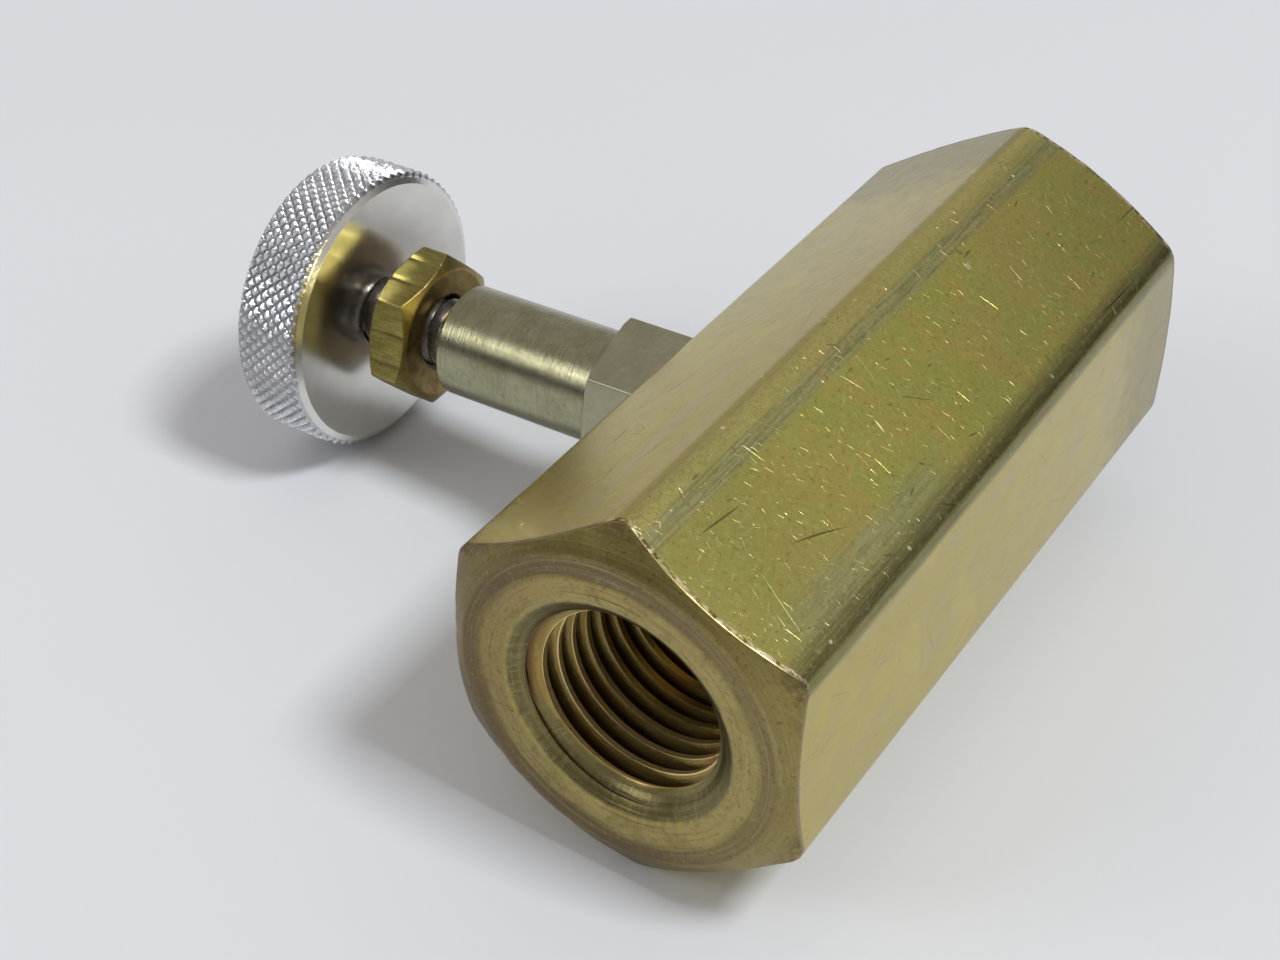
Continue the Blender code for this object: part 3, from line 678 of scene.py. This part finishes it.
def plated_steel():
    """Zinc-plated steel: fine turning lines on the barrel, dull wrench flats."""
    s = Shade("plated_steel")
    turn_lines = s.noise(s.join(s.y, 0.0), 5.0, 5.0, 0.8)
    broken = s.noise(s.vector("MULTIPLY", s.place, (0.5, 6.0, 0.5)), 1.2, 3.0, 0.7)
    cloud = s.noise(s.place, 0.45, 5.0, 0.65, 0.3)
    speck = s.noise(s.place, 3.5, 5.0, 0.75)
    streak = s.noise(s.vector("MULTIPLY", s.place, (1.0, 0.15, 1.0)), 2.2, 4.0, 0.65)
    barrel = s.band(s.y, HEX_TOP, HEX_TOP + 0.05)
    colour = s.mix(s.band(cloud, 0.36, 0.64), (0.300, 0.285, 0.165), (0.375, 0.362, 0.232))
    colour = s.mix(s.times(s.band(streak, 0.50, 0.70), 0.35), colour, (0.25, 0.24, 0.145))
    colour = s.mix(s.times(s.band(turn_lines, 0.48, 0.66), barrel, 0.40), colour, (0.46, 0.45, 0.30))
    colour = s.mix(s.times(s.band(broken, 0.48, 0.34), barrel, 0.45), colour, (0.21, 0.20, 0.12))
    colour = s.mix(s.times(s.band(speck, 0.54, 0.68), 0.5), colour, (0.18, 0.165, 0.095))
    colour = s.mix(s.times(s.band(speck, 0.44, 0.32), 0.4), colour, (0.50, 0.485, 0.36))
    colour = s.mix(s.times(s.calc("SUBTRACT", 1.0, barrel), 0.4), colour, (0.47, 0.455, 0.335))
    # Painted shade in the corner at the barrel's foot, next to the hex.
    foot = s.times(s.band(s.y, HEX_TOP + 0.9, HEX_TOP + 0.1, 0.0, 1.0), barrel)
    colour = s.mix(s.times(foot, 0.5), colour, (0.19, 0.16, 0.09))
    scuffs = s.scratches(s.join(s.y, s.x), 1.3, 0.035, 0.9, 0.45, 0.3, 2.6)
    colour = s.mix(s.times(scuffs, 0.6), colour, (0.60, 0.58, 0.44))
    roughness = s.fade(barrel, s.plus(0.30, s.times(cloud, 0.12)), s.plus(0.17, s.times(turn_lines, 0.10)))
    relief = s.fade(barrel, s.plus(s.times(speck, 1.0), s.times(streak, 0.8), s.times(cloud, 0.8)),
                    s.plus(s.times(turn_lines, 1.2), s.times(broken, 0.9), s.times(speck, 0.5)))
    return s.finish(colour, roughness, s.bump(relief, 0.011))


def nut_brass():
    """Machined brass nut: drawn sides, browner turned faces, painted shade on the outer face towards the
    knob.
    """
    s = Shade("nut_brass")
    radius = s.calc("SQRT", s.plus(s.times(s.x, s.x), s.times(s.z, s.z)))
    cloud = s.noise(s.place, 0.9, 4.0, 0.6, 0.6)
    lines = s.noise(s.vector("MULTIPLY", s.place, (2.0, 0.25, 2.0)), 2.4, 4.0, 0.65)
    rings = s.noise(s.join(radius, 0.0), 4.0, 3.0, 0.7)
    speck = s.noise(s.place, 4.0, 4.0, 0.7)
    inner = s.band(s.calc("ABSOLUTE", s.calc("SUBTRACT", s.y, (NUT_BOTTOM + NUT_TOP) / 2.0)), 1.00, 1.57)
    side = s.band(radius, NUT_FACE_RADIUS - 0.05, NUT_FACE_RADIUS + 0.20)
    colour = s.mix(s.band(lines, 0.30, 0.70), (0.215, 0.175, 0.048), (0.345, 0.300, 0.092))
    colour = s.mix(s.times(s.band(cloud, 0.48, 0.66), 0.5), colour, (0.22, 0.150, 0.055))
    face = s.mix(s.band(cloud, 0.35, 0.65), (0.27, 0.185, 0.070), (0.42, 0.31, 0.120))
    face = s.mix(s.times(s.band(rings, 0.5, 0.7), 0.4), face, (0.18, 0.115, 0.05))
    # Painted shade on the outer face, which faces the knob.
    outer = s.band(s.y, NUT_TOP - 0.35, NUT_TOP - 0.05)
    face = s.mix(s.times(outer, 0.75), face, (0.190, 0.135, 0.075))
    colour = s.mix(side, face, colour)
    colour = s.mix(s.times(inner, side, 0.45), colour, (0.22, 0.140, 0.052))
    colour = s.mix(s.times(s.band(speck, 0.56, 0.70), 0.5), colour, (0.09, 0.060, 0.025))
    colour = s.mix(s.times(s.band(speck, 0.44, 0.32), 0.35), colour, (0.42, 0.35, 0.13))
    roughness = s.plus(0.27, s.times(cloud, 0.14))
    relief = s.plus(s.times(lines, 0.4, side), s.times(cloud, 0.4), s.times(speck, 0.25))
    return s.finish(colour, roughness, s.bump(relief, 0.014))


def stem_steel():
    """Dark turned steel with an oily thread."""
    s = Shade("stem_steel")
    cloud = s.noise(s.place, 1.2, 4.0, 0.6)
    speck = s.noise(s.place, 5.0, 3.0, 0.6)
    radius = s.calc("SQRT", s.plus(s.times(s.x, s.x), s.times(s.z, s.z)))
    crest_highlight = s.band(radius, STEM_CREST - 0.10, STEM_CREST - 0.02)
    colour = s.mix(cloud, (0.16, 0.145, 0.13), (0.30, 0.28, 0.255))
    # Painted highlight on the thread's crests.
    colour = s.mix(s.times(crest_highlight, 0.5), colour, (0.52, 0.50, 0.47))
    colour = s.mix(s.times(s.band(speck, 0.55, 0.70), 0.5), colour, (0.08, 0.065, 0.05))
    lines = s.noise(s.join(s.y, 0.0), 12.0, 2.0, 0.6)
    return s.finish(colour, s.plus(0.20, s.times(cloud, 0.14)), s.bump(s.plus(lines, speck), 0.006))


def knob_aluminium():
    """Bright aluminium: polished faces with faint turning lines, knurled rim with painted shade in its
    grooves.
    """
    s = Shade("knob_aluminium")
    radius = s.calc("SQRT", s.plus(s.times(s.x, s.x), s.times(s.z, s.z)))
    rim = s.band(radius, 9.50, 9.62)
    rings = s.noise(s.join(radius, 0.0), 6.0, 3.0, 0.7)
    cloud = s.noise(s.place, 0.5, 4.0, 0.6)
    grain = s.noise(s.place, 2.6, 4.0, 0.7)
    smear = s.noise(s.vector("MULTIPLY", s.place, (1.0, 1.0, 0.4)), 1.6, 4.0, 0.65, 0.5)
    low = s.band(radius, KNOB_RADIUS - 0.08, KNOB_RADIUS - 0.34)
    colour = s.mix(s.band(cloud, 0.3, 0.7), (0.765, 0.755, 0.715), (0.82, 0.81, 0.775))
    bright = s.mix(s.band(grain, 0.38, 0.60), (0.92, 0.93, 0.95), (0.66, 0.67, 0.69))
    # Painted shade in the knurl's grooves: the rim darker below its crests.
    colour = s.mix(rim, colour, s.mix(s.times(low, 0.60), bright, (0.38, 0.385, 0.40)))
    colour = s.mix(s.times(s.spots(s.place, 1.6, 0.08, 0.25), 0.4), colour, (0.35, 0.33, 0.30))
    polished = s.plus(0.20, s.times(s.band(smear, 0.45, 0.75), 0.05), s.times(rings, 0.02))
    roughness = s.fade(rim, polished, s.plus(0.06, s.times(grain, 0.20)))
    relief = s.fade(rim, s.times(rings, 0.04), s.times(grain, 1.0))
    return s.finish(colour, roughness, s.bump(relief, 0.035))


def plain_finish(name, dark, light, rough, metallic):
    s = Shade(name)
    cloud = s.noise(s.place, 2.0, 4.0, 0.6)
    return s.finish(s.mix(cloud, dark, light), s.plus(rough, s.times(cloud, 0.12)),
                    s.bump(cloud, 0.01), metallic)


# ----------------------------------------------------------------------- pieces

def port_profile(half):
    """Corners up one port, from the drill point out to the end face."""
    return [
        (0.0, half - PORT_POINT_DEPTH, None),
        (PORT_DRILL, half - PORT_DRILL_DEPTH, 0.1),
        (PORT_BORE, half - 1.9, None),
        (PORT_BORE + 0.1, half - 1.30, 0.10),
        (6.25, half - 1.06, 0.15),
        (6.62, half - 0.66, 0.30),
        (7.10, half - 0.30, 0.30),
        (PORT_MOUTH, half, 0.62),
    ]


def burr(angles, seed, size):
    """Small irregular offset round an edge."""
    chance = np.random.default_rng(seed)
    total = np.zeros(len(angles))
    for turns in range(5, 60):
        height = chance.normal() / math.sqrt(turns)
        total += height * np.cos(turns * angles + chance.uniform(0, 2 * math.pi))
    return size * total / np.abs(total).max()


def make_body(material):
    """Hexagonal bar with both tapped ports, the bonnet bore and the passages."""
    angles, edge = hexagon_columns(BODY_FLATS, BODY_CORNER, 0.0, 36, 8)
    half = BODY_LENGTH / 2.0
    drop = (edge - BODY_FACE_RADIUS) * CHAMFER_SLOPE
    columns = len(angles)
    upper = port_profile(half)
    upper += [
        (BODY_FACE_RADIUS, half, 0.25),
        (edge, half - drop + burr(angles, 3, BURR), 0.12),
    ]
    lower = [(radius, -height, rounding) for radius, height, rounding in port_profile(half)]
    lower += [
        (BODY_FACE_RADIUS, -half, 0.25),
        (edge, -half + drop + burr(angles, 8, BURR), 0.12),
    ]
    radii, heights = profile_rows(lower + upper[::-1], columns)
    points, faces = skin(angles, radii, heights)
    body = mesh_piece("body_shell", points, faces, OUTLET, material)
    flip_out(body)
    taps = [tap("outlet_tap", OUTLET), tap("inlet_tap", INLET)]
    side = BODY_FLATS / 2.0
    mouth = CROSS_RADIUS + CROSS_CHAMFER
    cross = lathed("cross_bore", [
        (0.0, ORIFICE_FLOOR, None), (ORIFICE_RADIUS, ORIFICE_FLOOR, None),
        (ORIFICE_RADIUS, CHAMBER_FLOOR, None), (CHAMBER_RADIUS, CHAMBER_FLOOR, None),
        (CHAMBER_RADIUS, CROSS_FLOOR, None), (CROSS_RADIUS, CROSS_FLOOR, None),
        (CROSS_RADIUS, side - CROSS_CHAMFER, None), (mouth, side, None),
        (mouth, side + CUT_OVERRUN, None), (0.0, side + CUT_OVERRUN, None)], STEM)
    outer_end = half - PORT_DRILL_DEPTH + CUT_OVERRUN
    passages = []
    for name, place, offset, inner_end in (("inlet_hole", INLET, INLET_PASSAGE, -1.6),
                                           ("outlet_hole", OUTLET, OUTLET_PASSAGE, 1.65)):
        moved = place @ Matrix.Translation((0.0, offset * MM, 0.0))
        passages.append(lathed(name, [(0.0, inner_end, None), (PASSAGE_RADIUS, inner_end, None),
                                      (PASSAGE_RADIUS, outer_end, None), (0.0, outer_end, None)], moved,
                               columns=round_columns(48)))
    return combine(body, taps + [cross] + passages)


def flip_out(piece):
    """Turn every face outwards."""
    bm = bmesh.new()
    bm.from_mesh(piece.data)
    bmesh.ops.recalc_face_normals(bm, faces=bm.faces)
    bm.to_mesh(piece.data)
    bm.free()


def tap(name, place):
    """Pipe thread as a solid: its crests cut the roots of the port's thread."""
    half = BODY_LENGTH / 2.0
    profile = [(-0.045, 0.53), (0.045, 0.53), (0.075, 0.455), (0.42, -0.50), (0.452, -0.585), (0.5, -0.61),
               (0.548, -0.585), (0.58, -0.50), (0.925, 0.455)]
    base = lambda height: PIPE_PITCH_RADIUS - (half - height) * PIPE_TAPER
    solid = threaded(name, place, half - PIPE_THREAD_DEPTH, half + 0.6, PIPE_PITCH, base, profile, 144)
    flip_out(solid)
    return solid


def make_bonnet(material):
    columns = hexagon_columns(BONNET_FLATS, 0.18, BONNET_TURN, 10, 4)
    edge = columns[1]
    foot = BODY_FLATS / 2.0 + 0.02
    corners = [
        (STEM_BORE, SHANK_END, 0.1),
        (SHANK_RADIUS, SHANK_END, 0.2),
        (SHANK_RADIUS, foot, None),
        (edge - 0.15, foot, None),
        (edge, foot + 0.1, 0.05),
        (edge, HEX_TOP - np.maximum(edge - 5.2, 0.0) * CHAMFER_SLOPE, 0.07),
        (BARREL_RADIUS + 0.02, HEX_TOP, 0.08),
        (BARREL_RADIUS, BARREL_TOP, 0.16),
        (STEM_CREST + 0.45, BARREL_TOP, 0.05),
        (STEM_CREST + 0.03, BARREL_TOP - 0.5, 0.05),
        (STEM_CREST + 0.03, STEM_BORE_TOP, None),
        (STEM_BORE, STEM_BORE_TOP - 0.4, None),
    ]
    piece = lathed("bonnet_shell", corners, STEM, material, columns, True)
    flip_out(piece)
    return piece


def slot_block():
    """Block that cuts the screwdriver slot in the end of the stem."""
    reach = STEM_CREST + 0.5
    half = SLOT_WIDTH / 2.0
    points = []
    for height in (STEM_TOP - SLOT_DEPTH, STEM_TOP + 0.5):
        points += [(-reach, -half, height), (reach, -half, height)]
        points += [(reach, half, height), (-reach, half, height)]
    faces = [(3, 2, 1, 0), (4, 5, 6, 7), (0, 1, 5, 4), (1, 2, 6, 5), (2, 3, 7, 6), (3, 0, 4, 7)]
    return mesh_piece("slot_block", points, faces, STEM)


def make_stem(material):
    """Needle, sealed head and real screw thread, slotted at its end."""
    head = lathed("stem_shell", [
        (0.0, 0.13, None), (0.4, 0.13, 0.1), (HEAD_RADIUS, 6.45, 0.1), (HEAD_RADIUS, GROOVE_FLOOR, 0.08),
        (GROOVE_RADIUS, GROOVE_FLOOR, 0.1), (GROOVE_RADIUS, GROOVE_TOP, 0.1), (HEAD_RADIUS, GROOVE_TOP, 0.08),
        (HEAD_RADIUS, HEAD_TOP, 0.15), (STEM_ROOT - 0.03, HEAD_TOP, 0.1), (STEM_ROOT - 0.03, STEM_TOP, 0.3),
        (0.0, STEM_TOP, None)], STEM, material, round_columns(96))
    flip_out(head)
    middle = (STEM_CREST + STEM_ROOT) / 2.0
    height = (STEM_CREST - STEM_ROOT) / 2.0
    profile = [(-0.08, height), (0.08, height), (0.42, 0.05 - height), (0.5, -height), (0.58, 0.05 - height)]
    base = lambda place: middle - 0.35 * np.clip((place - STEM_TOP + 1.0) / 1.0, 0.0, 1.0)
    thread = threaded("stem_thread", STEM, HEAD_TOP + 0.5, STEM_TOP - 0.9, STEM_PITCH, base, profile, 96,
                      material)
    flip_out(thread)
    stem = combine(head, [thread], "UNION")
    return combine(stem, [slot_block()])


def chip_columns(angles, turn):
    """Depth of the scored lines along the nut's flats."""
    depth = np.zeros(len(angles))
    for place in NUT_SCORES:
        gap = (angles - turn - math.radians(place) + math.pi) % (2.0 * math.pi) - math.pi
        depth[np.argsort(np.abs(gap))[:1]] = NUT_SCORE_DEPTH
    return depth


def make_nut(material):
    """Chamfered hexagon nut with a few scored lines."""
    angles, edge = hexagon_columns(NUT_FLATS, 0.15, NUT_TURN, 28, 4)
    score = chip_columns(angles, NUT_TURN)
    drop = np.maximum(edge - NUT_FACE_RADIUS, 0.0) * CHAMFER_SLOPE
    corners = [
        (STEM_CREST + 0.04, NUT_BOTTOM + 0.45, 0.05),
        (STEM_CREST + 0.42, NUT_BOTTOM, 0.06),
        (NUT_FACE_RADIUS, NUT_BOTTOM, 0.12),
        (edge - score, NUT_BOTTOM + drop, 0.08),
        (edge - score, NUT_TOP - drop, 0.08),
        (NUT_FACE_RADIUS, NUT_TOP, 0.12),
        (STEM_CREST + 0.42, NUT_TOP, 0.06),
        (STEM_CREST + 0.04, NUT_TOP - 0.45, 0.05),
    ]
    piece = lathed("lock_nut_shell", corners, STEM, material, (angles, edge), True)
    flip_out(piece)
    return piece


def knurl(angles, heights):
    """Depth below the rim's crests, for two sets of crossing grooves."""
    chance = np.random.default_rng(5)
    across = angles / (2.0 * math.pi) * KNURLS_AROUND
    along = (heights - KNOB_BOTTOM) / (KNOB_TOP - KNOB_BOTTOM) * (KNURLS_ACROSS + 1.0)
    first = np.abs((across + along) % 1.0 - 0.5) * 2.0
    second = np.abs((across - along) % 1.0 - 0.5) * 2.0
    top = np.minimum(1.0 - first, 1.0 - second)
    cells = chance.uniform(0.80, 1.0, (KNURLS_AROUND, 64))
    row = np.floor(across + along).astype(int) % KNURLS_AROUND
    column = np.floor(across - along).astype(int) % 64
    height = np.minimum(top * 1.12, 1.0) * cells[row, column]
    return KNURL_DEPTH * (1.0 - height)


def make_knob(material):
    """Turned knob with a knurled rim and a set screw hole."""
    angles, _ = round_columns(KNURLS_AROUND * KNURL_STEPS)
    rows = (KNURLS_ACROSS + 1) * KNURL_STEPS
    heights = np.linspace(KNOB_BOTTOM, KNOB_TOP, rows + 1)
    span = KNOB_RADIUS - KNOB_FACE_RADIUS
    rim_radii = []
    rim_heights = []
    for height in heights:
        edge = min(height - KNOB_BOTTOM, KNOB_TOP - height)
        cone = KNOB_FACE_RADIUS + span * min(edge / KNOB_EDGE, 3.0)
        full = KNOB_RADIUS - knurl(angles, np.full(len(angles), height))
        rim_radii.append(np.minimum(full, cone))
        rim_heights.append(np.full(len(angles), height))
    inner = [
        (KNOB_BORE, KNOB_BOTTOM + 0.25, 0.05),
        (KNOB_BORE + 0.25, KNOB_BOTTOM, 0.04),
        (KNOB_FACE_RADIUS - 1.2, KNOB_BOTTOM, None),
        (KNOB_FACE_RADIUS - 0.06, KNOB_BOTTOM, None),
    ]
    outer = [
        (KNOB_FACE_RADIUS - 0.06, KNOB_TOP, None),
        (RECESS_RADIUS, KNOB_TOP, 0.08),
        (RECESS_RADIUS - 0.3, KNOB_TOP - RECESS_DEPTH, 0.08),
        (KNOB_BORE, KNOB_TOP - RECESS_DEPTH, 0.05),
    ]
    columns = len(angles)
    low_radii, low_heights = profile_rows(inner + outer, columns, True)
    split = int(np.argmax(low_heights.mean(axis=1) > KNOB_TOP - 0.01))
    radii = np.vstack([low_radii[:split], rim_radii, low_radii[split:]])
    heights_all = np.vstack([low_heights[:split], rim_heights, low_heights[split:]])
    points, faces = skin(angles, radii, heights_all, True)
    knob = mesh_piece("knob_shell", points, faces, STEM, material)
    flip_out(knob)
    screw_place = set_screw_frame()
    hole = lathed("set_screw_hole", [(0.0, 2.2, None), (SET_SCREW_HOLE, 2.2, None),
                                     (SET_SCREW_HOLE, KNOB_RADIUS - 0.25, None),
                                     (SET_SCREW_HOLE + 0.3, KNOB_RADIUS + 0.2, None),
                                     (0.0, KNOB_RADIUS + 0.2, None)],
                  screw_place, columns=round_columns(48))
    flip_out(hole)
    return combine(knob, [hole])


def set_screw_frame():
    """Frame whose Z runs out of the knob along the set screw."""
    turn = Matrix.Rotation(SET_SCREW_TURN, 4, "Z") @ Matrix.Rotation(math.pi / 2.0, 4, "Y")
    return STEM @ Matrix.Translation((0.0, 0.0, SET_SCREW_HEIGHT * MM)) @ turn


def make_set_screw(material):
    """Cone-point screw with a hexagon socket."""
    place = set_screw_frame()
    screw = lathed("set_screw_shell", [
        (0.0, 3.0, None), (0.7, 2.7, 0.05), (SET_SCREW_RADIUS, 3.4, 0.1),
        (SET_SCREW_RADIUS, SET_SCREW_END, 0.15), (0.0, SET_SCREW_END, None)],
        place, material, round_columns(48))
    flip_out(screw)
    socket = lathed("socket_tool", [(0.0, 7.2, None), (0.75, 7.2, None), (0.75, 9.5, None), (0.0, 9.5, None)],
                    place, columns=round_columns(6))
    flip_out(socket)
    return combine(screw, [socket])


def attach(piece, body, node):
    """Tie a piece to its body and to the node that it replaces."""
    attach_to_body(piece, body)
    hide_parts(node)


def repaint(node, material):
    """Give a carried-over inner node its finish."""
    piece = frame["nodes"][node]
    piece.data.materials.clear()
    piece.data.materials.append(material)


def make_floor():
    """Pale matt sheet under the valve."""
    mesh = bpy.data.meshes.new("floor")
    reach = 1.2
    mesh.from_pydata([(-reach, -reach, 0), (reach, -reach, 0), (reach, reach, 0), (-reach, reach, 0)], [],
                     [(0, 1, 2, 3)])
    floor = bpy.data.objects.new("floor", mesh)
    bpy.context.scene.collection.objects.link(floor)
    floor.location.z = -0.00005
    s = Shade("floor_paper")
    cloud = s.noise(s.place, 0.02, 2.0, 0.5)
    paper = s.mix(cloud, (0.715, 0.730, 0.765), (0.735, 0.750, 0.785))
    mesh.materials.append(s.finish(paper, 0.8, None, 0.0))


def make_camera():
    """Camera at the photograph's angle."""
    data = bpy.data.cameras.new("camera")
    data.sensor_width = 36.0
    data.lens = 61.65
    data.clip_start = 0.005
    camera = bpy.data.objects.new("camera", data)
    bpy.context.scene.collection.objects.link(camera)
    location = Vector((-0.09847821, -0.06023875, 0.09779003))
    right = Vector((0.53994712, -0.84114023, 0.03066309))
    up = -Vector((-0.51532211, -0.35916218, -0.77810388))
    back = -Vector((0.6655075, 0.40433358, -0.62738674))
    matrix = Matrix((right, up, back)).transposed().to_4x4()
    matrix.translation = location
    camera.matrix_world = matrix
    bpy.context.scene.camera = camera


def area_light(name, azimuth, elevation, distance, size, power, colour, aim=(0.0, 0.0, 0.01)):
    data = bpy.data.lights.new(name, "AREA")
    data.shape = "RECTANGLE"
    data.size, data.size_y = size
    data.energy = power
    data.color = colour
    light = bpy.data.objects.new(name, data)
    bpy.context.scene.collection.objects.link(light)
    direction = Vector((math.sin(azimuth) * math.cos(elevation), math.cos(azimuth) * math.cos(elevation),
                        math.sin(elevation)))
    light.location = Vector(aim) + direction * distance
    light.rotation_euler = (-direction).to_track_quat("-Z", "Y").to_euler()


def dark_zone(nodes, links, place, direction, reach, left):
    """Share of the room's light left about one direction."""
    dot = nodes.new("ShaderNodeVectorMath")
    dot.operation = "DOT_PRODUCT"
    links.new(place, dot.inputs[0])
    dot.inputs[1].default_value = Vector(direction).normalized()
    ramp = nodes.new("ShaderNodeMapRange")
    ramp.interpolation_type = "SMOOTHSTEP"
    links.new(dot.outputs["Value"], ramp.inputs[0])
    for socket, value in zip(list(ramp.inputs)[1:5], (*reach, 1.0, left)):
        socket.default_value = value
    return ramp.outputs[0]


def make_lights():
    """Soft room, dim low on two sides, with a lamp overhead and a weaker window."""
    scene = bpy.context.scene
    scene.view_settings.view_transform = "Standard"
    world = bpy.data.worlds.new("studio")
    scene.world = world
    world.use_nodes = True
    nodes = world.node_tree.nodes
    links = world.node_tree.links
    place = nodes.new("ShaderNodeTexCoord").outputs["Generated"]
    zones = [dark_zone(nodes, links, place, *zone) for zone in DARK_ZONES]
    both = nodes.new("ShaderNodeMath")
    both.operation = "MULTIPLY"
    for zone, socket in zip(zones, both.inputs):
        links.new(zone, socket)
    level = nodes.new("ShaderNodeMath")
    level.operation = "MULTIPLY"
    links.new(both.outputs[0], level.inputs[0])
    level.inputs[1].default_value = ROOM_LEVEL
    back = nodes["Background"]
    back.inputs["Color"].default_value = (1.0, 0.955, 0.935, 1.0)
    links.new(level.outputs[0], back.inputs["Strength"])
    area_light("lamp", math.radians(173), math.radians(60), 1.5, (0.34, 0.34), 12.9, (0.95, 0.985, 1.0))
    area_light("window", math.radians(310), math.radians(33), 0.7, (0.30, 0.20), 0.75, (0.97, 0.985, 1.0))


def main():
    attach(make_body(body_brass()), "valve", "valve_body")
    attach(make_bonnet(plated_steel()), "valve", "bonnet")
    attach(make_stem(stem_steel()), "stem", "needle_stem")
    attach(make_nut(nut_brass()), "nut", "lock_nut")
    attach(make_knob(knob_aluminium()), "stem", "knob")
    screw_steel = plain_finish("screw_steel", (0.04, 0.04, 0.045), (0.12, 0.12, 0.125), 0.35, 1.0)
    attach(make_set_screw(screw_steel), "stem", "knob_set_screw")
    repaint("bonnet_seal", plain_finish("seal_copper", (0.55, 0.25, 0.14), (0.75, 0.40, 0.26), 0.30, 1.0))
    repaint("stem_o_ring", plain_finish("seal_rubber", (0.015, 0.015, 0.015), (0.04, 0.04, 0.04), 0.5, 0.0))
    plastic = plain_finish("backup_plastic", (0.72, 0.72, 0.68), (0.84, 0.84, 0.80), 0.40, 0.0)
    repaint("backup_ring_lower", plastic)
    repaint("backup_ring_upper", plastic)
    make_floor()
    make_camera()
    make_lights()


main()
